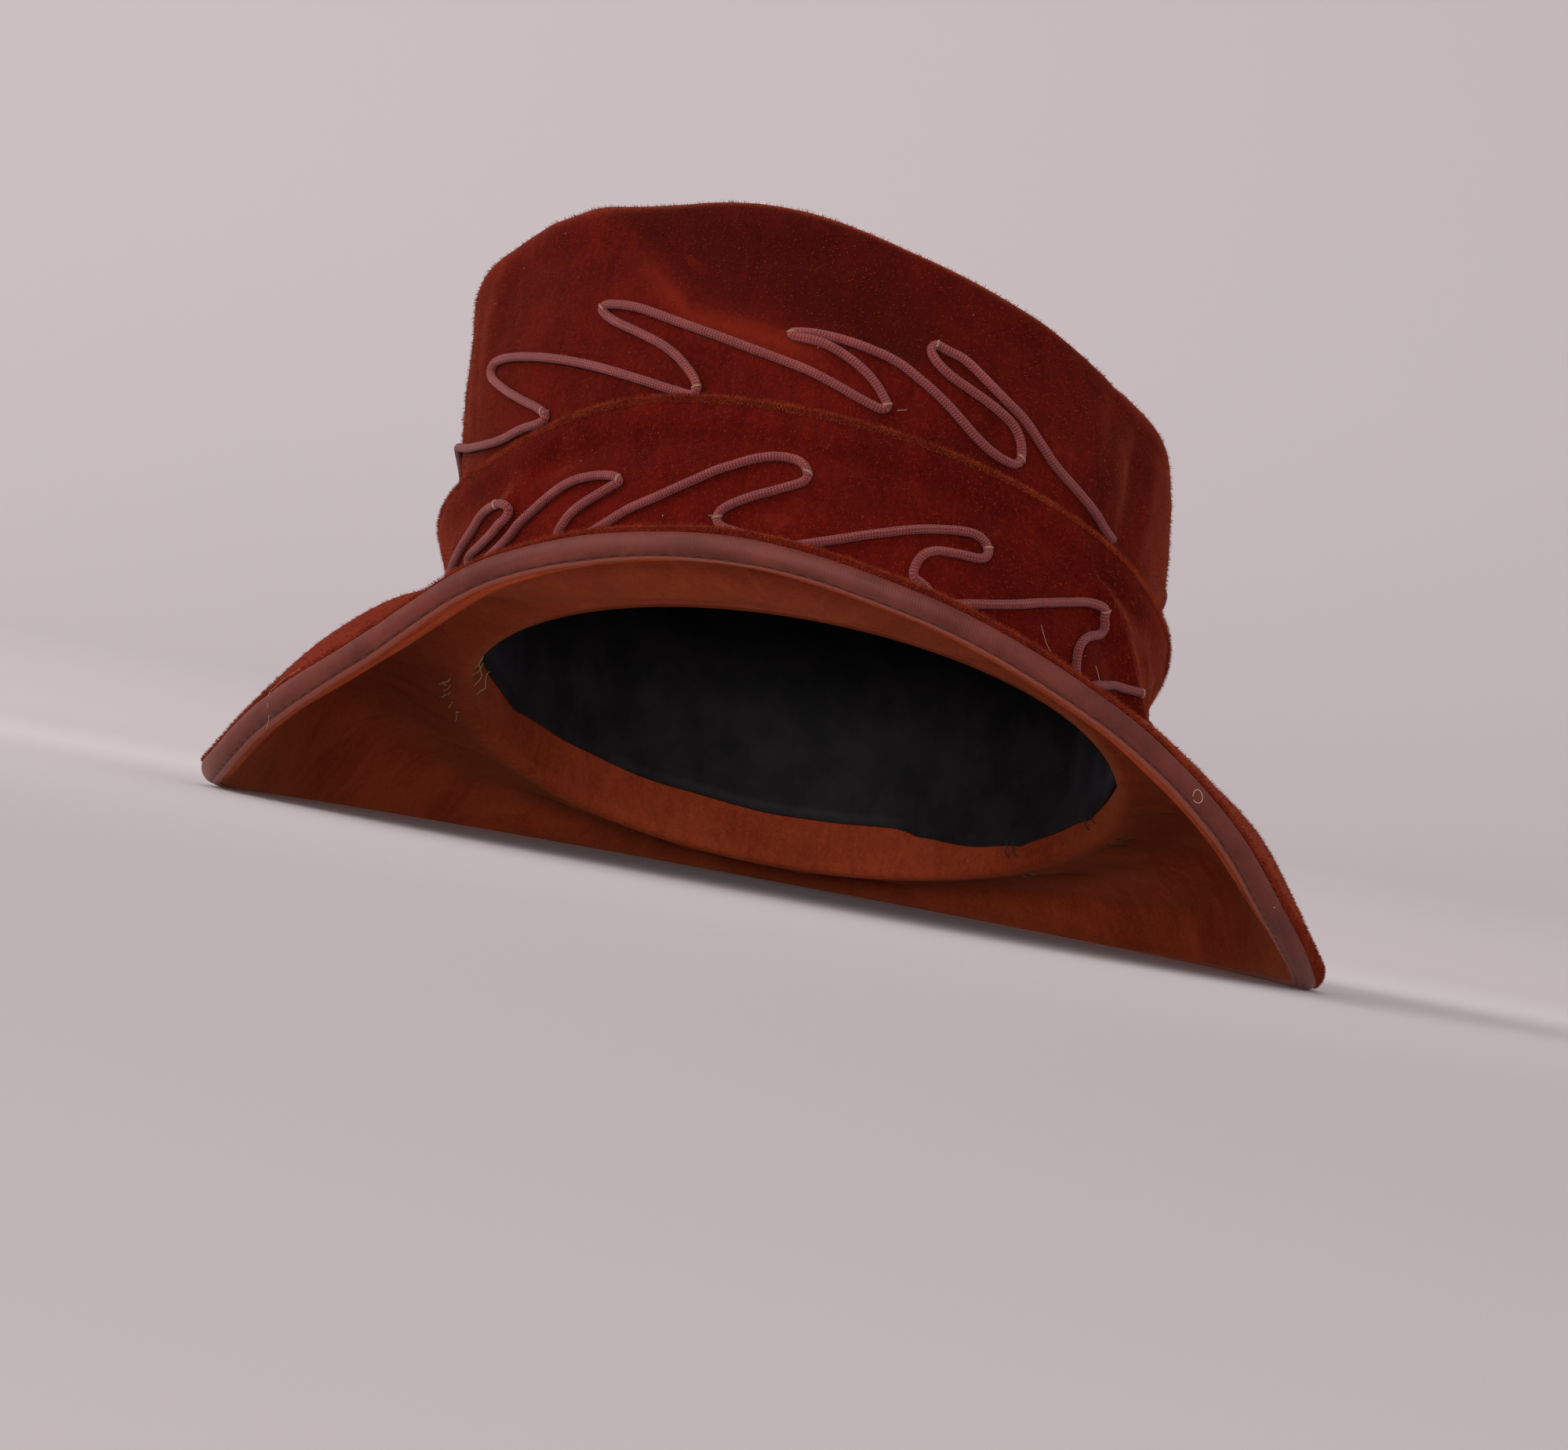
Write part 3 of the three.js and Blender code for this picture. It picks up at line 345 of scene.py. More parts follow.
def crown_form(azimuth, share):
    azimuth, share = floats(azimuth, share)
    spread = 1 + along(CROWN_ROWS, "spread", share)
    rise = along(CROWN_ROWS, "height", share) * CROWN_HEIGHT
    x = (HEAD_WIDTH / 2 + CROWN_BULGE) * spread * np.sin(azimuth * DEGREE)
    y = -(HEAD_LENGTH / 2 + CROWN_BULGE) * spread * np.cos(azimuth * DEGREE)
    level = rise / CROWN_HEIGHT
    drop = SLOUCH * np.maximum(0, (x - SLOUCH_FROM) / SLOUCH_SPAN) ** 1.5
    return tilted(x + CROWN_LEAN * level + CROWN_SHIFT, y, rise * (1 - drop * level**1.5))


def unit(vector):
    return vector / np.maximum(np.linalg.norm(vector, axis=-1, keepdims=True), 1e-12)


def outward_of(surface, azimuth, share):
    girth = surface(azimuth + 0.5, share) - surface(azimuth - 0.5, share)
    up = surface(azimuth, share + 0.003) - surface(azimuth, share - 0.003)
    return unit(np.cross(girth, up))


def crown_offset(azimuth, share, distance):
    """Point of the crown form moved along its outward direction."""
    azimuth, share, distance = floats(azimuth, share, distance)
    out = outward_of(crown_form, azimuth, np.clip(share, 0.004, 0.99))
    near_tip = smooth_step(0.985, 0.997, share)[..., None]
    out = unit(out * (1 - near_tip) + CROWN_AXIS * near_tip)
    return crown_form(azimuth, share) + out * distance[..., None]


def crown_fold(azimuth, share):
    fade = 1 - smooth_step(0.86, 0.97, share)
    folds = fold_height(CROWN_FOLDS, azimuth, share, GIRTH_RATE, CROWN_RATE, CROWN_HEIGHT)
    return fade * CROWN_HEIGHT * folds


SHARES = np.linspace(0, 0.7, 1401)
HEIGHTS = along(CROWN_ROWS, "height", SHARES)


def share_at(height):
    return np.interp(height, HEIGHTS, SHARES)


def lattice_noise(points, scale, seed):
    """Smooth noise from about -1 to 1 over points in millimetres, with features of about scale."""
    p = points / scale + seed * 17.31
    cell = np.floor(p).astype(np.int64)
    f = p - cell
    w = f * f * f * (f * (f * 6 - 15) + 10)
    total = np.zeros(p.shape[:-1])
    for corner in range(8):
        step = np.array([corner & 1, (corner >> 1) & 1, (corner >> 2) & 1])
        c = (cell + step).astype(np.uint64)
        primes = enumerate((73856093, 19349663, 83492791))
        one, two, three = (c[..., k] * np.uint64(prime) for k, prime in primes)
        h = one ^ two ^ three
        h = (h ^ (h >> np.uint64(13))) * np.uint64(1274126177)
        h = h ^ (h >> np.uint64(16))
        gradient = np.stack(
            [((h >> np.uint64(s)) & np.uint64(1023)).astype(float) / 511.5 - 1 for s in (0, 10, 20)], -1
        )
        weight = np.prod(np.where(step == 1, w, 1 - w), axis=-1)
        total += weight * ((f - step) * gradient).sum(-1)
    return total * 1.6


def cloth_noise(azimuth, share, girth_scale, share_scale, seed, rate=CROWN_RATE):
    """Noise drawn out along the cloth: girth_scale round the head and share_scale up it, in mm."""
    azimuth, share = floats(azimuth, share)
    radius = 95 / girth_scale
    ring = np.stack([radius * np.sin(azimuth * DEGREE), radius * np.cos(azimuth * DEGREE)], -1)
    up = (share * rate / share_scale)[..., None]
    return lattice_noise(np.concatenate([ring, up], -1), 1.0, seed)


# Crown cloth with its relief
def crown_relief(azimuth, share):
    """What the velvet stands off the plain crown form: folds and soft unevenness."""
    fade = 1 - smooth_step(0.8, 0.97, share)
    soft = 0.55 * cloth_noise(azimuth, share, 34, 26, 1) + 0.22 * cloth_noise(azimuth, share, 13, 9, 2)
    small = 0.07 * cloth_noise(azimuth, share, 4.5, 3.6, 3)
    pinch = lapped_fold(azimuth, share, *CROWN_LAP)
    creases = fold_height(CREASES, azimuth, share, GIRTH_RATE, CROWN_RATE, 1)
    level = 1 - smooth_step(0.88, 0.985, share)
    return level * crown_fold(azimuth, share) + fade * (soft + small + pinch + creases)


def crown_skin(azimuth, share, depth):
    return crown_offset(azimuth, share, crown_relief(azimuth, share) - depth)


# Band cloth
def band_relief(azimuth, rise):
    """Unevenness of the band on top of its modelled folds, in millimetres."""
    inside = smooth_step(0.02, 0.12, rise) * (1 - smooth_step(0.94, 1.0, rise))
    soft = 0.32 * cloth_noise(azimuth, rise, 20, 12, 5, BAND_RATE)
    drag = 0.2 * cloth_noise(azimuth + 30 * rise, rise, 24, 4.5, 6, BAND_RATE)
    small = 0.06 * cloth_noise(azimuth, rise, 4.5, 3.4, 7, BAND_RATE)
    relief = soft + drag + small
    for lap in BAND_LAPS:
        relief = relief + lapped_fold(azimuth, rise, *lap)
    valley = -0.9 * np.exp(-(((rise - 0.76) / 0.055) ** 2)) * (1 - smooth_step(46, 60, np.abs(azimuth)))
    taut = -3.2 * np.exp(-((turn_from(azimuth, 82) / 17) ** 2) - ((rise - 0.62) / 0.36) ** 2)
    return inside * (relief + valley + taut)


def band_point(azimuth, rise, depth):
    azimuth, rise, depth = floats(azimuth, rise, depth)
    share = share_at(around(BAND_ROWS, "top", azimuth) * rise)
    stand = GAP + around(BAND_ROWS, "flare", azimuth) * BAND_WALL * np.maximum(rise, 0) ** 1.5
    held = smooth_step(1.0, 0.93, rise)
    fold = held * fold_height(BAND_FOLDS, azimuth, rise, GIRTH_RATE, BAND_RATE, CROWN_HEIGHT)
    body = BAND_WALL * (1 + along(BAND_PROFILE, "swell", np.clip(rise, 0, 1)) + fold)
    body = body + band_relief(azimuth, rise)
    return crown_offset(azimuth, share, stand + depth * body)


# Brim
def brim_frame(azimuth):
    """Seam point, outward direction, length to the rolled edge's centre and its height."""
    azimuth = np.asarray(azimuth, float)
    seam = crown_form(azimuth, np.zeros_like(azimuth)) - CROWN_AXIS * SEAM_GAP
    reach = BRIM_SPAN / 2 - ROLL_RADIUS
    aim = np.stack([reach * np.sin(azimuth * DEGREE), -reach * np.cos(azimuth * DEGREE), seam[..., 2]], -1)
    out = aim - seam
    length = np.linalg.norm(out, axis=-1)
    out = out / length[..., None]
    centre = around(BRIM_ROWS, "lift", azimuth) * BRIM_LIFT + ROLL_RADIUS - ROLL_SINK
    return {"seam": seam, "out": out, "length": length, "centre": centre}


def section_point(section, distance, height):
    point = section["seam"] + section["out"] * np.asarray(distance)[..., None]
    point[..., 2] = height
    return point


def brim_form(azimuth, share):
    """Upper side of the brim from the seam (share 0) to the start of the rolled edge (share 1)."""
    azimuth, share = floats(azimuth, share)
    section = brim_frame(azimuth)
    root = around(BRIM_ROWS, "root", azimuth) * DEGREE
    fall = around(BRIM_ROWS, "fall", azimuth) * DEGREE
    end_along = section["length"] + ROLL_RADIUS * np.sin(fall)
    end_height = section["centre"] + ROLL_RADIUS * np.cos(fall)
    seam_height = section["seam"][..., 2]
    span = np.hypot(end_along, end_height - seam_height)
    hold = span * around(BRIM_ROWS, "hold", azimuth)
    belly = span * around(BRIM_ROWS, "belly", azimuth)
    a = (1 - share) ** 3
    b = 3 * (1 - share) ** 2 * share
    c = 3 * (1 - share) * share**2
    d = share**3
    distance = b * hold * np.cos(root) + c * (end_along - belly * np.cos(fall)) + d * end_along
    height = a * seam_height + b * (seam_height + hold * np.sin(root))
    height = height + c * (end_height + belly * np.sin(fall)) + d * end_height
    return section_point(section, distance, height)


def brim_up(azimuth, share):
    s = np.clip(share, 0.005, 0.995)
    girth = brim_form(azimuth + 0.5, s) - brim_form(azimuth - 0.5, s)
    out = brim_form(azimuth, s + 0.004) - brim_form(azimuth, s - 0.004)
    return unit(np.cross(out, girth))


def brim_relief(azimuth, share):
    """Folds and soft unevenness of the brim, shared by its two layers."""
    fade = smooth_step(0, 0.25, share) * (1 - smooth_step(0.75, 1, share))
    fold = fade * BRIM_SPAN * fold_height(BRIM_FOLDS, azimuth, share, BRIM_GIRTH_RATE, BRIM_RATE, BRIM_SPAN)
    wide = smooth_step(0, 0.2, share) * (1 - smooth_step(0.85, 1, share))
    soft = 0.4 * cloth_noise(azimuth, share, 20, 26, 11, BRIM_RATE)
    return fold + wide * soft


def roll_relief(azimuth, angle):
    """Soft lumps of the padded roll at the edge, in millimetres of its radius."""
    turn = np.asarray(angle, float) / 90
    wide = cloth_noise(azimuth, turn, 11, 1.6, 12, 1.0)
    small = cloth_noise(azimuth, turn, 4.2, 0.8, 13, 1.0)
    return 0.2 * wide + 0.07 * small


def brim_point(azimuth, share, depth, ripple=0.0):
    azimuth, share = floats(azimuth, share)
    start = 90 - around(BRIM_ROWS, "fall", azimuth)
    join = smooth_step(0.9, 1.0, share) * roll_relief(azimuth, start)
    lift = brim_relief(azimuth, share) + join - depth + ripple
    return brim_form(azimuth, share) + brim_up(azimuth, share) * lift[..., None]


def roll_point(azimuth, angle, radius):
    """Point on the rolled edge: angle 0 faces outward, -90 down."""
    azimuth, angle, radius = floats(azimuth, angle, radius)
    section = brim_frame(azimuth)
    size = radius + roll_relief(azimuth, angle)
    distance = section["length"] + size * np.cos(angle * DEGREE)
    return section_point(section, distance, section["centre"] + size * np.sin(angle * DEGREE))


def rested(points, floor):
    """The rolled edge is pressed flat where the hat rests on it."""
    points = points.copy()
    points[..., 2] = np.maximum(points[..., 2], floor)
    return points


# Meshes
def make_piece(name, points, groups, material, smooth=True):
    """A closed mesh that rides on the hat, from points in millimetres. groups holds pairs of faces,
    all with the same number of corners, and the place of each corner on the flat cloth in metres."""
    mesh = bpy.data.meshes.new(name)
    places = (np.asarray(points, float) + CENTRE) * 0.001
    corners = np.concatenate([np.asarray(faces).ravel() for faces, _ in groups]).astype(np.int32)
    totals = np.concatenate([np.full(len(faces), np.shape(faces)[1]) for faces, _ in groups])
    totals = totals.astype(np.int32)
    starts = np.concatenate([[0], np.cumsum(totals)[:-1]]).astype(np.int32)
    mesh.vertices.add(len(places))
    mesh.vertices.foreach_set("co", places.ravel())
    mesh.loops.add(len(corners))
    mesh.loops.foreach_set("vertex_index", corners)
    mesh.polygons.add(len(totals))
    mesh.polygons.foreach_set("loop_start", starts)
    mesh.polygons.foreach_set("loop_total", totals)
    mesh.update(calc_edges=True)
    mesh.polygons.foreach_set("use_smooth", np.full(len(totals), smooth))
    if groups[0][1] is not None:
        layer = mesh.uv_layers.new(name="cloth")
        places = np.concatenate([np.asarray(cloth, float).ravel() for _, cloth in groups])
        layer.data.foreach_set("uv", places)
    mesh.materials.append(material)
    piece = bpy.data.objects.new(name, mesh)
    bpy.context.scene.collection.objects.link(piece)
    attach(piece, "root")
    return piece


def facing_out(points, groups):
    """The groups of faces, all turned over if the closed mesh they make is inside out."""
    volume = 0.0
    for faces, _ in groups:
        for k in range(1, faces.shape[1] - 1):
            first, second, third = (points[faces[:, n]] for n in (0, k, k + 1))
            volume += (first * np.cross(second, third)).sum()
    if volume > 0:
        return groups
    return [(faces[:, ::-1], None if cloth is None else cloth[:, ::-1]) for faces, cloth in groups]


def grid_faces(rows, columns, wrap_rows, wrap_columns):
    """Quads of a grid whose point (i, j) has index i * columns + j, and their grid corners."""
    i, j = np.meshgrid(
        np.arange(rows if wrap_rows else rows - 1), np.arange(columns if wrap_columns else columns - 1),
        indexing="ij",
    )
    i = i.ravel()
    j = j.ravel()
    corners = [(i, j), (i + 1, j), (i + 1, j + 1), (i, j + 1)]
    faces = np.stack([(a % rows) * columns + b % columns for a, b in corners], -1)
    places = np.stack([np.stack([a, b], -1) for a, b in corners], 1)
    return faces, places


def ring_piece(name, sections, girth_rate, material, across=None):
    """Closed ring with a section outline at each azimuth. across is the cloth's place at each point of
    the outline in millimetres, or else the length along it."""
    rows, columns, _ = sections.shape
    points = sections.reshape(-1, 3)
    faces, places = grid_faces(rows, columns, True, True)
    if across is None:
        across = line_length(sections[rows // 2])
    steps = np.append(across, 2 * across[-1] - across[-2])
    cloth = np.stack([places[..., 0] * (360 * girth_rate) / rows, steps[places[..., 1]]], -1) * 0.001
    return make_piece(name, points, facing_out(points, [(faces, cloth)]), material)


def dome_piece(name, lines, tips, material, across=None):
    """Closed dome from lines that run from the first tip to the rim, and on the other side up to the
    second tip."""
    rows, columns, _ = lines.shape
    points = np.concatenate([lines.reshape(-1, 3), tips])
    faces, places = grid_faces(rows, columns, True, False)
    if across is None:
        across = line_length(lines[rows // 2])
    girth = 360 * GIRTH_RATE
    cloth = np.stack([places[..., 0] * girth / rows, across[places[..., 1]]], -1) * 0.001
    i = np.arange(rows)
    n = (i + 1) % rows
    top = np.full(rows, rows * columns)
    first = np.stack([top, n * columns, i * columns], -1)
    second = np.stack([top + 1, i * columns + columns - 1, n * columns + columns - 1], -1)
    first_cloth, second_cloth = (
        np.stack([np.stack([i + k, 0 * i], -1) for k in corners], 1) * girth / rows * 0.001
        for corners in ((0.5, 1, 0), (0.5, 0, 1))
    )
    second_cloth = second_cloth + [0, across[-1] * 0.001]
    groups = [(faces, cloth), (first, first_cloth), (second, second_cloth)]
    return make_piece(name, points, facing_out(points, groups), material)


def line_length(points):
    """Length along a line of points, at each point."""
    return np.concatenate([[0], np.cumsum(np.linalg.norm(np.diff(points, axis=0), axis=1))])


def respaced(line, count):
    """The line as count points at even steps along it."""
    length = line_length(line)
    at = np.linspace(0, length[-1], count)
    return np.stack([np.interp(at, length, column) for column in line.T], -1)


def relax(line, times):
    """Smooth the line's points in place; its ends stay."""
    for _ in range(times):
        line[1:-1] = (line[:-2] + 2 * line[1:-1] + line[2:]) / 4


def azimuths(count):
    return (-180 + 360 * np.arange(count) / count)[:, None]


# Node materials
class Tree:
    """Short names for the nodes of a material. Its colours are display values of 0 to 255."""

    def __init__(self, name):
        self.material = bpy.data.materials.new(name)
        self.material.use_nodes = True
        self.tree = self.material.node_tree
        self.shader = self.tree.nodes["Principled BSDF"]
        self.place = self.node("TexCoord", {}).outputs["Object"]
        self.cloth = self.node("UVMap", {}, uv_map="cloth").outputs["UV"]

    def link(self, value, socket):
        if isinstance(value, bpy.types.NodeSocket):
            self.tree.links.new(value, socket)
        else:
            socket.default_value = value

    def node(self, kind, sockets, **settings):
        """A new node with its settings, and a value or a link for each socket."""
        node = self.tree.nodes.new("ShaderNode" + kind)
        for name, value in settings.items():
            setattr(node, name, value)
        for name, value in sockets.items():
            self.link(value, node.inputs[name])
        return node

    def noise(self, scale, detail=2.0, rough=0.5, vector=None, distortion=0.0):
        vector = self.place if vector is None else vector
        sockets = {
            "Vector": vector, "Scale": scale, "Detail": detail, "Roughness": rough,
            "Distortion": distortion,
        }
        return self.node("TexNoise", sockets).outputs["Fac"]

    def stretch(self, factors):
        return self.node("Mapping", {"Vector": self.cloth, "Scale": factors}).outputs["Vector"]

    def math(self, operation, a, b=0.0):
        return self.node("Math", {0: a, 1: b}, operation=operation).outputs[0]

    def times(self, a, b):
        return self.math("MULTIPLY", a, b)

    def minus(self, a, b):
        return self.math("SUBTRACT", a, b)

    def weigh(self, first, *others):
        """Sum of values that each have a weight."""
        total = self.times(*first)
        for other in others:
            total = self.math("ADD", total, self.times(*other))
        return total

    def span(self, value, low, high, to_low=0.0, to_high=1.0, smooth=False):
        sockets = {"Value": value, "From Min": low, "From Max": high, "To Min": to_low, "To Max": to_high}
        kind = "SMOOTHSTEP" if smooth else "LINEAR"
        return self.node("MapRange", sockets, interpolation_type=kind).outputs["Result"]

    def blend(self, share, a, b):
        a, b = ((*linear(c), 1) if isinstance(c, tuple) else c for c in (a, b))
        return self.node("Mix", {"Factor": share, 6: a, 7: b}, data_type="RGBA").outputs[2]

    def parts(self, vector):
        return self.node("SeparateXYZ", {0: vector}).outputs

    def bump(self, height, strength, distance):
        sockets = {"Height": height, "Strength": strength, "Distance": distance}
        return self.node("Bump", sockets).outputs["Normal"]

    def done(self, colour, rough, normal, sheen, sheen_rough, sheen_tint, specular):
        sockets = {
            "Base Color": colour, "Roughness": rough, "Normal": normal, "Sheen Weight": sheen,
            "Sheen Roughness": sheen_rough, "Sheen Tint": (*sheen_tint, 1), "Specular IOR Level": specular,
        }
        for name, value in sockets.items():
            self.link(value, self.shader.inputs[name])
        return self.material


def linear(colour):
    """Linear colour from display values of 0 to 255."""
    return tuple(((c / 255 + 0.055) / 1.055) ** 2.4 if c > 10 else c / 255 / 12.92 for c in colour)


def velvet(name, deep, body, crest, sheen_tint=(1.0, 0.18, 0.07), sheen=0.3, fold_light=None):
    """Cotton velvet: mottled nap, tufts that catch light, worn streaks and a few specks of lint."""
    t = Tree(name)
    nap = t.noise(38, 3, 0.6)
    brushed = t.noise(110, 4, 0.6, t.stretch((1, 0.4, 1)), 1.6)
    tuft = t.noise(900, 3, 0.6, distortion=0.4)
    fibre = t.noise(3400, 2, 0.7)
    tone = t.weigh((nap, 0.45), (brushed, 0.35), (tuft, 0.2))
    colour = t.blend(t.span(tone, 0.3, 0.7, smooth=True), deep, body)
    glint = t.span(t.weigh((fibre, 0.55), (tuft, 0.45)), 0.5, 0.74)
    colour = t.blend(t.times(glint, 0.2), colour, crest)
    scuff = t.span(t.noise(75, 5, 0.7, distortion=1.0), 0.6, 0.74)
    colour = t.blend(t.times(scuff, 0.22), colour, crest)
    lint = t.node("TexVoronoi", {"Vector": t.place, "Scale": 300})
    speck = t.math("LESS_THAN", lint.outputs["Distance"], 0.06)
    rare = t.math("GREATER_THAN", t.parts(lint.outputs["Color"])[0], 0.94)
    colour = t.blend(t.times(t.times(speck, rare), 0.4), colour, (190, 140, 120))
    if fold_light is not None:
        colour = fold_light(t, colour)
    height = t.weigh((tuft, 0.5), (fibre, 0.5))
    return t.done(colour, 0.9, t.bump(height, 0.5, 0.0006), sheen, 0.3, sheen_tint, 0.04)


def painted_fold_shading(t, colour):
    """Painted shade and painted highlight at the crown's lapped fold: darker past its line, where the fold
    shades the cloth, and lighter on its crest, where the fold catches the light.
    """
    u, v, _ = t.parts(t.cloth)
    azimuth = t.minus(t.times(u, 1000 / GIRTH_RATE), 180)
    share = t.minus(1, t.times(v, 1000 / CROWN_RATE))
    near = t.minus(0.4214, t.times(azimuth, 0.0017))
    far = t.minus(0.2285, t.times(azimuth, 0.0101))
    past = t.times(t.minus(share, t.math("MAXIMUM", near, far)), CROWN_RATE)
    # Painted shade on the cloth past the fold's line
    painted_shade = t.times(t.span(past, -1, 9, smooth=True), t.span(past, 26, 62, 1, 0, True))
    painted_shade = t.times(painted_shade, t.span(azimuth, -60, -46, smooth=True))
    painted_shade = t.times(painted_shade, t.span(azimuth, 0, 40, 1, 0, True))
    # Painted highlight along the fold's crest
    crest = t.times(t.span(past, -10, -2, smooth=True), t.span(past, -2, 1.5, 1, 0))
    crest = t.times(crest, t.span(azimuth, -40, -20, smooth=True))
    crest = t.times(crest, t.span(azimuth, -8, 0, 1, 0, True))
    colour = t.blend(t.times(painted_shade, 0.5), colour, (36, 4, 3))
    return t.blend(t.times(crest, 0.3), colour, (128, 40, 20))


def ribbon(name, deep, body, crest, strip):
    """Ribbed ribbon: fine cross ribs, rubbed patches, a lighter strip below its stitched line, and painted
    shade in the groove along that line.
    """
    t = Tree(name)
    sockets = {"Vector": t.cloth, "Scale": 520, "Distortion": 0.8, "Detail": 1.0, "Detail Scale": 1.2}
    rib = t.node("TexWave", sockets, wave_type="BANDS", bands_direction="X").outputs["Fac"]
    wear = t.noise(60, 4, 0.6)
    grain = t.noise(3000, 2, 0.6)
    silk = t.noise(260, 3, 0.6, t.stretch((0.12, 1, 1)))
    colour = t.blend(t.span(wear, 0.3, 0.7, smooth=True), deep, body)
    colour = t.blend(t.times(rib, 0.1), colour, crest)
    colour = t.blend(t.span(silk, 0.5, 0.75, 0, 0.3), colour, crest)
    colour = t.blend(t.span(grain, 0.55, 0.75, 0, 0.2), colour, crest)
    place = t.parts(t.cloth)[1]
    low = RIBBON_MAIN * 0.001
    below = t.times(t.span(place, low, low + 0.0003), t.span(place, 0.0086, 0.009, 1, 0))
    colour = t.blend(t.times(below, 0.75), colour, strip)
    # Painted shade: a dark line along the groove of the stitched line
    edge = t.math("ABSOLUTE", t.minus(place, low - 0.0001))
    colour = t.blend(t.span(edge, 0.0001, 0.0006, 0.85, 0), colour, (48, 18, 14))
    height = t.weigh((rib, 0.5), (grain, 0.5))
    return t.done(colour, 0.6, t.bump(height, 0.35, 0.0002), 0.14, 0.4, (1, 0.45, 0.36), 0.2)


def braid(name, deep, body, crest):
    """Silky knitted cord: rows of fine slanting stitches."""
    t = Tree(name)
    u, v, _ = t.parts(t.cloth)
    slant = t.math("ABSOLUTE", t.minus(t.math("FRACT", t.times(v, 9.0)), 0.5))
    phase = t.weigh((u, 2 * math.pi / 0.0008), (slant, 6.0))
    stitch = t.span(t.math("SINE", phase), -1, 1)
    strand = t.times(stitch, t.span(slant, 0.36, 0.5, 1, 0))
    fibre = t.noise(3800, 2, 0.6)
    wear = t.noise(60, 3, 0.6)
    colour = t.blend(t.span(strand, 0.05, 0.6), deep, body)
    colour = t.blend(t.times(t.span(fibre, 0.5, 0.75), 0.35), colour, crest)
    colour = t.blend(t.span(wear, 0.5, 0.75, 0, 0.3), colour, crest)
    height = t.weigh((strand, 0.75), (fibre, 0.25))
    return t.done(colour, 0.6, t.bump(height, 1.0, 0.0004), 0.2, 0.35, (1, 0.62, 0.6), 0.25)


def plain_weave(name, deep, body):
    """Plain woven cloth."""
    t = Tree(name)
    u, v, _ = t.parts(t.cloth)
    warp, weft = (t.math("SINE", t.times(way, 2 * math.pi / 0.0005)) for way in (u, v))
    weave = t.span(t.times(warp, weft), -1, 1)
    slub = t.noise(900, 3, 0.6, t.stretch((1, 0.1, 1)))
    fade = t.noise(70, 3, 0.6)
    colour = t.blend(t.span(fade, 0.35, 0.65, smooth=True), deep, body)
    colour = t.blend(t.times(t.span(slub, 0.5, 0.7), 0.4), colour, body)
    height = t.weigh((weave, 0.6), (slub, 0.4))
    return t.done(colour, 0.7, t.bump(height, 0.4, 0.0002), 0.05, 0.4, (0.8, 0.8, 1), 0.25)


def thread_material(name, deep, body):
    """Spun thread."""
    t = Tree(name)
    twist = t.noise(2600, 2, 0.6)
    return t.done(t.blend(twist, deep, body), 0.7, t.bump(twist, 0.4, 0.0001), 0.2, 0.4, (1, 1, 1), 0.25)


def pile_material(name, deep, body):
    """Single hairs of velvet, some of them worn lighter."""
    t = Tree(name)
    single = t.noise(2600, 1, 0.5)
    share = t.weigh((t.noise(160, 3, 0.6), 0.5), (single, 0.5))
    colour = t.blend(t.span(share, 0.36, 0.66, smooth=True), deep, body)
    return t.done(colour, 0.9, t.bump(single, 0.1, 0.0001), 0.4, 0.4, (1.0, 0.3, 0.12), 0.05)


VELVET_TONES = ((54, 5, 3), (84, 13, 7), (128, 44, 22))
VELVET = velvet("velvet", *VELVET_TONES)
CROWN_VELVET = velvet("crown_velvet", *VELVET_TONES, fold_light=painted_fold_shading)
BAND_VELVET = velvet("band_velvet", (54, 4, 3), (84, 12, 6), (130, 44, 22))
# Lighter copy of the velvet for the brim's underside: partly the underside's own orange-brown tone, partly
# painted light that stands in for light reaching the underside
FACING_VELVET_WITH_PAINTED_LIGHT = velvet(
    "facing_velvet", (110, 38, 20), (146, 60, 33), (176, 92, 60), (1.0, 0.28, 0.12), 0.22
)
RIBBON = ribbon("ribbon", (72, 29, 24), (94, 40, 33), (122, 60, 49), (134, 66, 50))
BRAID = braid("cord_braid", (74, 20, 22), (134, 50, 50), (172, 82, 76))
LINING = plain_weave("lining_cloth", (12, 10, 12), (27, 24, 27))
PILE = pile_material("pile", (76, 12, 6), (136, 46, 20))
# Band hairs a little lighter than the crown's: partly worn, partly painted highlight where the band's
# folded edge catches the light
BAND_PILE_WORN_AND_PAINTED_LIGHT = pile_material("band_pile", (84, 15, 8), (146, 56, 30))
BEIGE_THREAD = thread_material("beige_thread", (128, 98, 70), (186, 152, 116))
BLACK_THREAD = thread_material("black_thread", (10, 9, 11), (26, 24, 28))
ROSE_THREAD = thread_material("rose_thread", (58, 22, 20), (98, 48, 42))
PALE_THREAD = thread_material("pale_thread", (150, 112, 100), (196, 160, 146))


# Crown
def make_crown():
    a = azimuths(400)
    outer = np.concatenate([
        np.linspace(0, 0.2, 6)[:-1], np.linspace(0.2, 0.86, 104)[:-1], np.linspace(0.86, 0.99, 18),
    ])
    inner = np.array([0, 0.12, 0.3, 0.48, 0.64, 0.78, 0.92])
    lines = [crown_skin(a, outer[None, ::-1], 0), crown_skin(a, inner[None, :], CROWN_WALL)]
    lines = np.concatenate(lines, axis=1)
    across = np.concatenate([1 - outer[::-1], 1 + inner]) * CROWN_RATE
    tip = lines[:, 0].mean(axis=0) + CROWN_AXIS * 0.04
    tips = [tip, tip - CROWN_AXIS * CROWN_WALL]
    piece = dome_piece("crown_velvet", lines, tips, CROWN_VELVET, across)
    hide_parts("crown")


def band_fold(azimuth, turn):
    """The rounded fold at the top of the band: turn runs from 0 outside to 1 inside."""
    angle = np.asarray(turn, float) * math.pi
    return band_point(azimuth, FOLD_RISE + 0.05 * np.sin(angle), 0.5 + 0.5 * np.cos(angle))


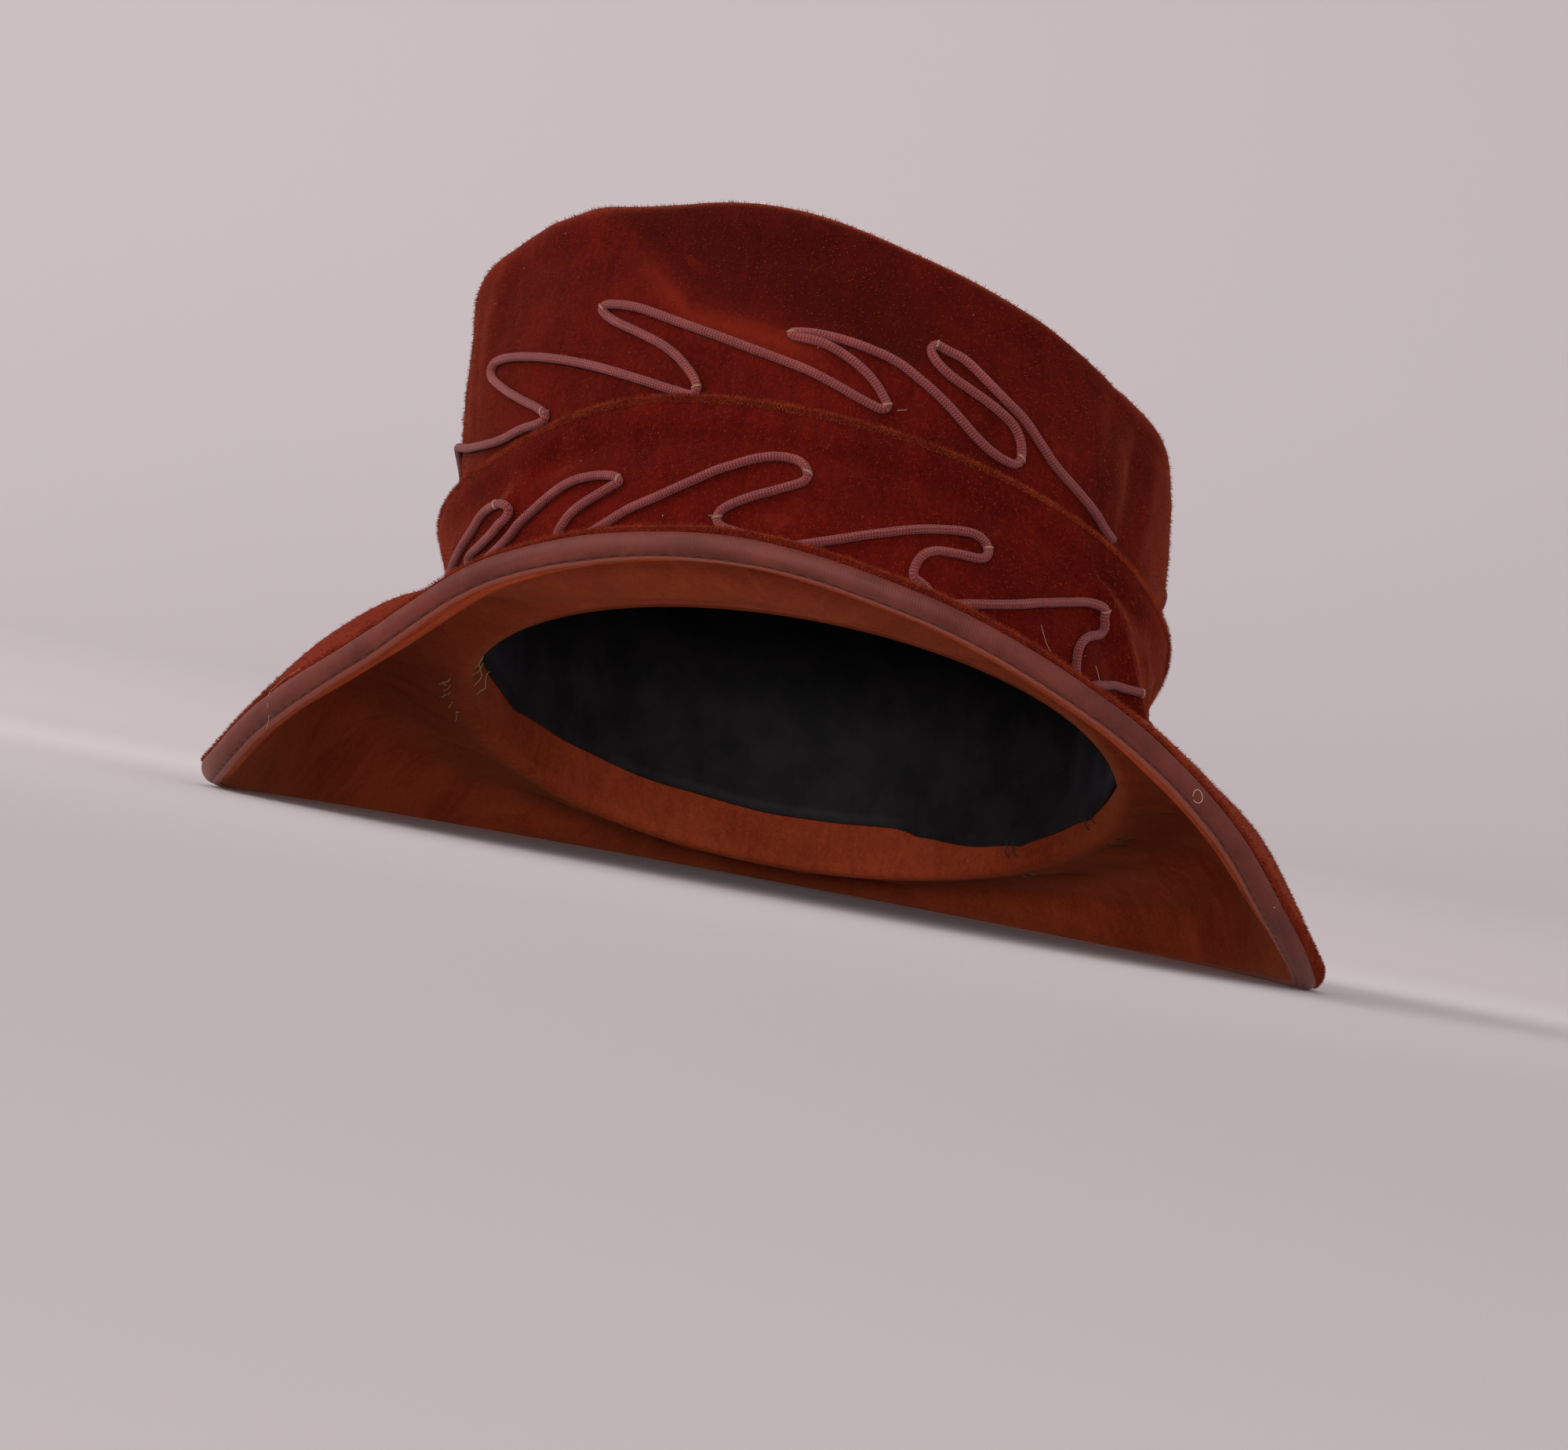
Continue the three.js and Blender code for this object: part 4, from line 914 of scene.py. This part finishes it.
def make_band():
    a = azimuths(640)
    rise = np.concatenate([np.linspace(0.03, 0.86, 40), np.linspace(0.875, FOLD_RISE, 6)])
    outer = band_point(a, rise[None, :], 1.0)
    fold = band_fold(a, (np.arange(1, 9) / 9)[None, :])
    inner = band_point(a, np.array([FOLD_RISE, 0.85, 0.6, 0.3, 0.03])[None, :], 0.0)
    sections = np.concatenate([outer, fold, inner], axis=1)
    piece = ring_piece("drape_band_velvet", sections, GIRTH_RATE, BAND_VELVET)
    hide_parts("drape_band")


def make_brim_top():
    a = azimuths(520)
    fall = around(BRIM_ROWS, "fall", a)
    tape = around(BRIM_ROWS, "tape", a)
    start = 90 - fall
    tape_start = np.minimum(tape + BINDING_HALF_ANGLE, start - 6)

    def line(depth, fine):
        rim = crown_offset(a, 0.0, -CROWN_WALL + 0.2) - CROWN_AXIS * (SEAM_GAP + depth)
        shares = row(0, 1, 32 if fine else 7)
        body = brim_point(a, shares, depth)
        t = np.linspace(0, 1, 9 if fine else 4)[None, 1:]
        turn = roll_point(a, start + (tape_start - start) * t, ROLL_RADIUS - depth)
        t = np.linspace(0, 1, 6 if fine else 3)[None, 1:]
        sink = UNDER_SINK * smooth_step(0, 0.2, t)
        under = roll_point(a, tape_start + (tape - tape_start) * t, ROLL_RADIUS - sink - depth)
        return np.concatenate([rim, body, rested(turn, depth), rested(under, UNDER_SINK + depth)], axis=1)

    outside = line(0, True)
    inside = line(BRIM_WALL, False)[:, ::-1]
    sections = np.concatenate([outside, inside], axis=1)
    piece = ring_piece("brim_top_velvet", sections, BRIM_GIRTH_RATE, VELVET)
    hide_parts("brim_top")


def facing_ripple(azimuth, share):
    """Radial folds and ripples of the under velvet, strongest where it is eased into the crown."""
    fade = smooth_step(0.02, 0.14, share) * (1 - smooth_step(0.8, 0.98, share))
    eased = 1.25 - 0.8 * smooth_step(0.1, 0.75, share)
    radial = cloth_noise(azimuth, share, 10, 75, 21, BRIM_RATE)
    folds = np.maximum(cloth_noise(azimuth, share, 17, 60, 24, BRIM_RATE), 0) ** 1.3
    fine = cloth_noise(azimuth, share, 3.8, 40, 22, BRIM_RATE)
    sag = fade * (0.25 - eased * (0.85 * radial + 1.8 * folds) - 0.16 * fine)
    return 0.25 - np.logaddexp(0, 3 * sag) / 3


def make_facing():
    a = azimuths(520)
    fall = around(BRIM_ROWS, "fall", a)
    tape = around(BRIM_ROWS, "tape", a)
    start = -90 - fall
    end = np.maximum(tape - BINDING_HALF_ANGLE + 14, start + 19)
    strip = tape_edges(a)[2]

    def line(depth, fine):
        collar_depth = CROWN_WALL + GAP + depth
        below = SEAM_GAP + BRIM_WALL + 1.5 * GAP + depth
        up = row(1, 0, 9 if fine else 4)
        soft = 0.35 * cloth_noise(a, up, 14, 12, 23, 14)
        collar = crown_offset(a, COLLAR_SHARE * up, soft - collar_depth)
        corner = crown_offset(a, 0.0, -collar_depth) - CROWN_AXIS * below
        seam = brim_form(a, 0.0) - CROWN_AXIS * (BRIM_WALL + 2 * GAP + depth)
        shares = row(0.04, 1, 36 if fine else 7)
        thick = 2 * ROLL_RADIUS - 2 * BRIM_WALL - GAP
        beside = np.exp(-((turn_from(a, 118) / 22) ** 2))
        swell = thick * smooth_step(0.62 + 0.2 * beside, 1, shares)
        ripple = facing_ripple(a, shares)
        body = brim_point(a, shares, BRIM_WALL + GAP + depth + swell, ripple)
        t = np.linspace(0, 1, 14 if fine else 5)[None, 1:]
        angle = start + (end - start) * t
        sink = 0.5 * smooth_step(strip - 1, strip + 7, angle) * smooth_step(0, 0.1, t)
        turn = roll_point(a, angle, ROLL_RADIUS - BRIM_WALL + depth - sink)
        body = rested(body, BRIM_WALL - depth)
        return np.concatenate([collar, corner, seam, body, rested(turn, BRIM_WALL - depth + 0.02)], axis=1)

    sections = np.concatenate([line(BRIM_WALL, True), line(0, False)[:, ::-1]], axis=1)
    piece = ring_piece("brim_facing_velvet", sections, BRIM_GIRTH_RATE, FACING_VELVET_WITH_PAINTED_LIGHT)
    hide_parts("brim_facing")


def tape_edges(a):
    """Angles on the roll of the ribbon's upper edge, its stitched line and its lower edge, a little
    uneven as sewn by hand."""
    fall = around(BRIM_ROWS, "fall", a)
    tape = around(BRIM_ROWS, "tape", a)
    first = np.minimum(tape + BINDING_HALF_ANGLE, 84 - fall) - 2
    seam = np.maximum(tape - BINDING_HALF_ANGLE - 1, -90 - fall + 30)
    first = first + 3.0 * cloth_noise(a, 0.0, 16, 1, 31) + 1.5 * cloth_noise(a, 0.0, 5, 1, 32)
    seam = seam + 1.5 * cloth_noise(a, 0.0, 14, 1, 33) + 0.8 * cloth_noise(a, 0.0, 4, 1, 34)
    narrow = np.exp(-((turn_from(a, 0) / 28) ** 2))
    strip = 33 - 13 * narrow + 3 * cloth_noise(a, 0.0, 18, 1, 35) + 3 * cloth_noise(a, 0.0, 4, 1, 36)
    last = np.maximum(seam - strip, -90 - fall + 1)
    return first, seam, last


def make_tape():
    a = azimuths(1200)
    first, seam, last = tape_edges(a)
    t = row(0, 1, 11)
    draw = 0.5 + 0.5 * np.sin(a * BRIM_GIRTH_RATE / STITCH_STEP * 2 * math.pi)
    pad = 0.3 * np.sin(t * math.pi) ** 0.5 - 0.16 * draw**2 * np.exp(-(((t - 0.92) / 0.1) ** 2))
    main = roll_point(a, first + (seam - first) * t, ROLL_RADIUS - 0.14 + pad)
    u = np.array([0.15, 0.35, 0.6, 0.85, 1.0])[None, :]
    whipped = 0.06 + 0.16 * smooth_step(5, 25, a) * (1 - smooth_step(85, 110, a))
    lift = 0.26 * np.sin(u * math.pi) ** 0.6 - whipped * draw * np.exp(-((u / 0.6) ** 2)) + 0.06 * u
    strip = roll_point(a, seam + (last - seam) * u, ROLL_RADIUS - 0.12 + lift)
    back = row(1, 0, 6)
    inner = roll_point(a, first + (last - first) * back, ROLL_RADIUS - 0.42)
    sections = np.concatenate([rested(main, 0.0), rested(strip, 0.0), rested(inner, 0.3)], axis=1)
    across = np.concatenate([t[0] * RIBBON_MAIN, RIBBON_MAIN + u[0] * RIBBON_STRIP, 9 + 9 * t[0, ::2]])
    piece = ring_piece("edge_ribbon", sections, BRIM_GIRTH_RATE, RIBBON, across)
    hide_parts("edge_binding")


def lining_depth(share):
    return CROWN_WALL + BRIM_WALL + 2 * GAP + 0.4 + 3 * smooth_step(0.12, 0.4, share)


def make_lining():
    a = azimuths(300)
    lower = LINING_SHARE + 0.005 * cloth_noise(a, 0.0, 22, 1, 41)
    lower = lower - 0.05 * smooth_step(66, 90, a) * (1 - smooth_step(136, 158, a))
    for place in (-118, -86, 84, 106, 128, 152):
        lower = lower + 0.003 - 0.012 * np.exp(-np.abs(turn_from(a, place)) / 4)
    lower = np.maximum(lower, 0.004)

    def wall(t, thickness):
        share = lower + (0.985 - lower) * t
        pleats = smooth_step(0.0, 0.15, t) * (1 - smooth_step(0.8, 0.97, t))
        wrinkles = 0.7 * cloth_noise(a, share, 10, 60, 42) + 0.5 * cloth_noise(a, share, 26, 22, 43)
        return crown_offset(a, share, pleats * wrinkles - lining_depth(share) - thickness)

    fine = row(0, 1, 40)
    hem = LINING_WALL + 0.25 * np.exp(-(((fine - 0.02) / 0.02) ** 2))
    inner = wall(fine, hem)
    outer = wall(row(0, 1, 12), 0.0)
    lines = np.concatenate([outer[:, ::-1], inner], axis=1)
    tip = crown_form(0.0, 1.0) - CROWN_AXIS * lining_depth(1.0)
    piece = dome_piece("lining_cap", lines, [tip, tip - CROWN_AXIS * LINING_WALL], LINING)
    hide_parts("lining")


# Cords
def between(t, low, high, first, second):
    """first where t is low and second where it is high."""
    return (high - t) / (high - low) * first + (t - low) / (high - low) * second


def smooth_route(rows, share_rate):
    """Centripetal curve through the rows on the unrolled cloth, in short even steps."""
    p = np.array([(a * GIRTH_RATE, s * share_rate) for a, s in rows])
    q = np.concatenate([[2 * p[0] - p[1]], p, [2 * p[-1] - p[-2]]])
    pieces = []
    for k in range(1, len(q) - 2):
        four = q[k - 1:k + 3]
        knots = np.concatenate([[0], np.cumsum(np.linalg.norm(np.diff(four, axis=0), axis=1) ** 0.5)])
        t = np.linspace(knots[1], knots[2], 60, endpoint=False)[:, None]
        one, two, three = (between(t, knots[n], knots[n + 1], four[n], four[n + 1]) for n in range(3))
        early = between(t, knots[0], knots[2], one, two)
        late = between(t, knots[1], knots[3], two, three)
        pieces.append(between(t, knots[1], knots[2], early, late))
    line = np.concatenate([*pieces, [p[-1]]])
    line = respaced(line, int(line_length(line)[-1] / CORD_STEP) + 1)
    return line[:, 0] / GIRTH_RATE, line[:, 1] / share_rate


def back_rows(pattern, start, loops):
    return [(start + k * BACK_STEP + ahead, share) for k in range(loops) for ahead, share in pattern]


def tube(line, out, radius, sides):
    """Points and quads of a round tube along a line. radius may be a column of sizes."""
    ahead = unit(np.gradient(line, axis=0))
    side = unit(np.cross(ahead, out))
    up = unit(np.cross(side, ahead))
    angle = np.arange(sides) / sides * 2 * math.pi
    ring = side[:, None] * np.cos(angle)[None, :, None] + up[:, None] * np.sin(angle)[None, :, None]
    points = line[:, None] + ring * np.broadcast_to(radius, (len(line),))[:, None, None]
    faces, places = grid_faces(len(line), sides, False, True)
    return points.reshape(-1, 3), faces, places


def tube_ends(base, count, sides):
    """The two end faces of a tube of count rings whose points start at base."""
    first = base + np.arange(sides)
    return [first, first[::-1] + (count - 1) * sides]


def cord_piece(name, surface, azimuth, share, node):
    """A cord sewn along the cloth: its centreline, the way out of the cloth, and its route."""
    out = outward_of(surface, azimuth, share)
    line = surface(azimuth, share) + out * (CORD_RADIUS - CORD_SEAT)
    relax(line, 6)
    points, faces, places = tube(line, out, CORD_RADIUS, CORD_SIDES)
    cloth = np.stack([line_length(line)[places[..., 0]] * 0.001, places[..., 1] / CORD_SIDES], -1)
    ends = np.array(tube_ends(0, len(line), CORD_SIDES))
    groups = [(faces, cloth), (ends, np.zeros((*ends.shape, 2)))]
    piece = make_piece(name, points, facing_out(points, groups), BRAID)
    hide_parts(node)
    return line, out, azimuth, share


def make_cords():
    upper = UPPER_START + back_rows(UPPER_BACK, -218, 3) + UPPER_CORD
    lower = LOWER_START + back_rows(LOWER_BACK, -263, 4) + LOWER_CORD
    return {
        "upper": cord_piece("upper_braid", crown_cloth, *smooth_route(upper, CROWN_RATE), "upper_cord"),
        "lower": cord_piece("lower_braid", band_cloth, *smooth_route(lower, BAND_RATE), "lower_cord"),
    }


def crown_cloth(azimuth, share):
    return crown_skin(azimuth, share, 0)


def band_cloth(azimuth, rise):
    return band_point(azimuth, rise, 1.0)


# Threads
def thread_piece(name, threads, radius, material, sides=5):
    """Many short threads as one mesh. Each is a line of points and the way out of the cloth."""
    points = []
    rings = []
    ends = []
    base = 0
    for line, out in threads:
        line = np.asarray(line, float)
        size = np.full(len(line), radius)
        size[[0, -1]] *= 0.6
        ring, faces, _ = tube(line, np.broadcast_to(out, line.shape), size, sides)
        points.append(ring)
        rings.append(faces + base)
        ends += tube_ends(base, len(line), sides)
        base += len(ring)
    points = np.concatenate(points)
    groups = [(np.concatenate(rings), None), (np.array(ends), None)]
    return make_piece(name, points, facing_out(points, groups), material)


def make_tacks(cords):
    """Beige stitches that hold the cords down at their bends."""
    threads = []
    for cord, azimuth, share, turn in TACKS:
        line, out, azimuths_of, shares_of = cords[cord]
        rate = CROWN_RATE if cord == "upper" else BAND_RATE
        far = (turn_from(azimuths_of, azimuth) * GIRTH_RATE) ** 2 + ((shares_of - share) * rate) ** 2
        k = int(np.argmin(far))
        up = unit(out[k])
        ahead = unit(line[min(k + 1, len(line) - 1)] - line[k - 1])
        side = unit(np.cross(ahead, up))
        across = side * math.cos(turn * DEGREE) + ahead * math.sin(turn * DEGREE)
        reach = np.linspace(-1.45, 1.45, 9)[:, None]
        height = np.sqrt(np.maximum(1.5**2 - reach**2, 0)) - 0.22
        height = np.maximum(height, -CORD_RADIUS + 0.02)
        threads.append((line[k] + across * reach + up * height, up))
        threads.append((line[k] + ahead * 0.3 + across * reach * 0.96 + up * (height - 0.04), up))
    thread_piece("cord_tacks", threads, 0.075, BEIGE_THREAD, 6)


def make_edge_stitches():
    """A line of small stitches along the ribbon's groove."""
    count = int(360 * BRIM_GIRTH_RATE / STITCH_STEP)
    threads = []
    for k in range(count):
        centre = (k + 0.75) * STITCH_STEP / BRIM_GIRTH_RATE - 180
        half = 0.26 * STITCH_STEP / BRIM_GIRTH_RATE
        a = np.linspace(centre - half, centre + half, 5)
        seam = tape_edges(a[:, None])[1][:, 0] + 3
        line = roll_point(a, seam, ROLL_RADIUS + np.array([-0.22, -0.02, 0.0, -0.02, -0.22]))
        line = rested(line, 0.1)
        angle = seam[:, None] * DEGREE
        threads.append((line, brim_frame(a)["out"] * np.cos(angle) + np.array([0, 0, 1]) * np.sin(angle)))
    thread_piece("edge_stitches", threads, 0.09, ROSE_THREAD)


def loose_line(points, wave, random):
    """A fine thread through a few points, a little wavy."""
    points = np.array(points)
    line = respaced(points, max(9, int(line_length(points)[-1] / 0.5)))
    sway = random.normal(0, wave, line.shape)
    relax(line, 4)
    for _ in range(4):
        sway[1:-1] = (sway[:-2] + sway[1:-1] + sway[2:]) / 3
    return line + sway, np.array([0.0, -0.8, 0.6])


def make_loose_threads():
    """Frayed and loose threads: at the lining's edge, on the ribbon and on the band."""
    random = np.random.default_rng(7)

    def collar(azimuth, share, depth=5.6):
        return crown_offset(azimuth, share, -depth)

    def under(azimuth, share):
        return brim_point(azimuth, share, 2.95, facing_ripple(azimuth, share))

    frays = []
    starts = ((-82.5, 0.02), (-84, 0.035), (-86, 0.022), (-89, 0.03), (-93, 0.025), (-97, 0.02))
    for azimuth, reach in starts:
        points = [collar(azimuth, 0.05), collar(azimuth - 1.5, 0.02), under(azimuth - 4, 0.012)]
        points += [under(azimuth - 6, reach), under(azimuth - 8.5, reach + 0.015)]
        frays.append(loose_line(points, 0.7, random))
    thread_piece("lining_frays", frays, 0.13, BEIGE_THREAD)
    stitches = []
    for azimuth in (103, 106, 129, 131):
        points = [collar(azimuth, 0.03), collar(azimuth, 0.005, 5.2), under(azimuth + 0.6, 0.02)]
        points += [under(azimuth + 1.5, 0.06), under(azimuth + 2.0, 0.1)]
        stitches.append(loose_line(points, 0.3, random))
    thread_piece("lining_stitches", stitches, 0.16, BLACK_THREAD)
    curls = []
    for angle in (np.linspace(-0.3, 1.25, 12) * math.pi, np.linspace(1.4, 1.95, 6) * math.pi):
        azimuth = 41.3 + 0.62 * np.cos(angle)
        curls.append((roll_point(azimuth, -21.5 + 19 * np.sin(angle), ROLL_RADIUS + 0.24), (0.0, -1, 0.2)))
    speck = roll_point(np.linspace(57.2, 57.4, 5), np.linspace(-41, -36, 5), ROLL_RADIUS + 0.22)
    curls.append((speck, (0.0, -1, 0)))
    thread_piece("ribbon_scuff", curls, 0.1, PALE_THREAD)
    hair = [roll_point(a, b, ROLL_RADIUS + 0.3) for a, b in (
        (-53.9, 52), (-55.9, 36), (-58.1, 19.6), (-58.0, -25), (-59.1, -66), (-60.9, -88),
    )]
    wisps = [loose_line(hair, 0.1, random)]
    for route in (
        ((35.5, 0.26), (37.0, 0.191), (38.6, 0.139)),
        ((49.0, 0.24), (51.0, 0.171), (51.6, 0.12)),
    ):
        wisps.append(loose_line([band_point(a, s, 1.12) for a, s in route], 0.1, random))
    for cord, azimuth, share in (("crown", -50.5, 0.322), ("crown", 8.6, 0.344), ("band", -17.5, 0.37)):
        cloth = crown_cloth if cord == "crown" else band_cloth
        out = outward_of(cloth, azimuth, share)
        route = [cloth(azimuth + k, share + 0.004 * k) + out * (1.7 - 0.5 * k) for k in (0, 0.8, 1.6)]
        wisps.append(loose_line(route, 0.12, random))
    thread_piece("fine_threads", wisps, 0.06, PALE_THREAD)


# Velvet pile that shows at the outlines and along the folds
def scatter(surface, low, high, count, random):
    """Places spread evenly over a cloth between two pairs of (azimuth, share)."""
    rows = 240
    columns = 40
    a = np.linspace(low[0], high[0], rows + 1)
    s = np.linspace(low[1], high[1], columns + 1)
    grid = surface(a[:, None], s[None, :])
    one = grid[1:, :-1] - grid[:-1, :-1]
    two = grid[:-1, 1:] - grid[:-1, :-1]
    area = np.linalg.norm(np.cross(one, two), axis=-1).ravel()
    cell = np.searchsorted(np.cumsum(area) / area.sum(), random.random(count))
    cell = np.minimum(cell, rows * columns - 1)
    azimuth = low[0] + (cell // columns + random.random(count)) * (high[0] - low[0]) / rows
    share = low[1] + (cell % columns + random.random(count)) * (high[1] - low[1]) / columns
    return azimuth, share


def pile_piece(name, batches, material, seed):
    """Fine tapering hairs of velvet. A batch has a surface, its limits, a count, a length and how far
    the hairs lean."""
    random = np.random.default_rng(seed)
    points = []
    faces = []
    base = 0
    for surface, low, high, count, length, lean in batches:
        azimuth, share = scatter(surface, low, high, count, random)
        foot = surface(azimuth, share)
        out = outward_of(surface, azimuth, share)
        down = unit(surface(azimuth, share - 0.004) - foot)
        side = np.cross(out, down)
        turn = random.normal(0, 0.7, count)[:, None]
        way = down * np.cos(turn) + side * np.sin(turn)
        angle = (lean + random.normal(0, 0.22, count))[:, None]
        size = (length * random.uniform(0.55, 1.15, count))[:, None]
        tip = foot + size * (out * np.cos(angle) + way * np.sin(angle))
        radius = random.uniform(0.06, 0.11, count)[:, None]
        spin = random.uniform(0, 2 * math.pi, count)[:, None]
        corners = []
        for k in range(3):
            third = spin + k * 2.0944
            corners.append(foot - 0.05 * out + radius * (down * np.cos(third) + side * np.sin(third)))
        points.append(np.stack([*corners, tip], 1).reshape(-1, 3))
        first = base + 4 * np.arange(count)[:, None]
        pattern = np.array([[0, 1, 3], [1, 2, 3], [2, 0, 3], [0, 2, 1]])
        faces.append((first[:, None] + pattern).reshape(-1, 3))
        base += 4 * count
    points = np.concatenate(points)
    points[:, 2] = np.maximum(points[:, 2], 0.0)
    groups = facing_out(points, [(np.concatenate(faces), None)])
    return make_piece(name, points, groups, material, False)


def edge_turn(azimuth, turn):
    """Upper side of the rolled edge, from the ribbon (turn 0) up to the brim (turn 1)."""
    first = tape_edges(np.asarray(azimuth, float))[0] - 1
    start = 90 - around(BRIM_ROWS, "fall", azimuth)
    return roll_point(azimuth, first + (start - first) * turn, ROLL_RADIUS)


def brim_cloth(azimuth, share):
    return brim_point(azimuth, 1 - np.asarray(share, float), 0.0)


def make_pile():
    pile_piece("crown_pile", [(crown_cloth, (-180, 0.3), (180, 0.985), 36000, 1.05, 0.6)], PILE, 1)
    pile_piece("band_pile", [
        (band_cloth, (-180, 0.12), (180, 0.95), 12000, 0.85, 0.75),
        (band_fold, (-180, 0.02), (180, 0.62), 20000, 1.1, 0.3),
    ], BAND_PILE_WORN_AND_PAINTED_LIGHT, 2)
    pile_piece("brim_pile", [
        (brim_cloth, (-180, 0.02), (180, 0.8), 14000, 0.9, 0.7),
        (edge_turn, (-180, 0.02), (180, 1.0), 17000, 0.95, 0.45),
    ], PILE, 3)


make_crown()
make_band()
make_brim_top()
make_facing()
make_tape()
make_lining()
cord_lines = make_cords()
make_tacks(cord_lines)
make_edge_stitches()
make_loose_threads()
make_pile()


# Studio
def light(name, place, target, size, power, colour):
    data = bpy.data.lights.new(name, "AREA")
    data.shape = "RECTANGLE"
    data.size, data.size_y = size
    data.energy = power
    data.color = colour
    lamp = bpy.data.objects.new(name, data)
    bpy.context.scene.collection.objects.link(lamp)
    lamp.location = place
    lamp.rotation_euler = (Vector(target) - Vector(place)).to_track_quat("-Z", "Y").to_euler()


def backdrop_material():
    """Matt paint with painted light and shade: darker on the near floor and lighter towards the back of the
    floor, so that the unevenly lit floor and wall look alike.
    """
    t = Tree("backdrop_paint")
    _, ahead, height = t.parts(t.place)
    # Painted light and shade: the near floor is painted darker and the far floor lighter, to even out how
    # the lamps light them
    near = t.blend(t.span(ahead, -1.0, -0.5), (170, 162, 163), (191, 182, 184))
    floor = t.blend(t.span(ahead, -0.5, 0.35), near, (229, 220, 222))
    wall = t.blend(t.span(height, 0.045, 0.3), (211, 202, 205), (209, 200, 203))
    colour = t.blend(t.span(height, 0.0, 0.045), floor, wall)
    t.link(colour, t.shader.inputs["Base Color"])
    t.shader.inputs["Roughness"].default_value = 0.95
    t.shader.inputs["Specular IOR Level"].default_value = 0.0
    return t.material


def make_stage():
    """A pale floor that sweeps up into the backdrop."""
    profile = [(-3.0, 0.0), (0.9, 0.0)]
    for angle in np.arange(1, 13) * math.pi / 24:
        profile.append((0.9 + 0.8 * math.sin(angle), 0.8 - 0.8 * math.cos(angle)))
    profile.append((1.7, 3.2))
    points = [(x, y, z) for y, z in profile for x in (-4.0, 4.0)]
    faces = [(2 * k, 2 * k + 1, 2 * k + 3, 2 * k + 2) for k in range(len(profile) - 1)]
    mesh = bpy.data.meshes.new("backdrop")
    mesh.from_pydata(points, [], faces)
    mesh.polygons.foreach_set("use_smooth", [True] * len(mesh.polygons))
    mesh.materials.append(backdrop_material())
    floor = bpy.data.objects.new("backdrop", mesh)
    bpy.context.scene.collection.objects.link(floor)


def make_world():
    world = bpy.data.worlds.new("studio")
    world.use_nodes = True
    background = world.node_tree.nodes["Background"]
    background.inputs["Color"].default_value = (*linear((235, 232, 232)), 1)
    background.inputs["Strength"].default_value = 0.7
    bpy.context.scene.world = world


make_stage()
make_world()
light("window", (-1.8, -0.8, 1.0), (0, 0, 0.07), (1.2, 1.6), 27, (1.0, 0.99, 0.97))
light("fill", (1.6, -1.2, 0.6), (0, 0, 0.07), (1.2, 1.2), 1.6, (1.0, 0.97, 0.95))
light("front", (-0.1, -1.6, 0.12), (0, 0.06, 0.06), (1.4, 0.22), 17, (1.0, 0.97, 0.94))
bpy.context.scene.view_settings.view_transform = "Standard"
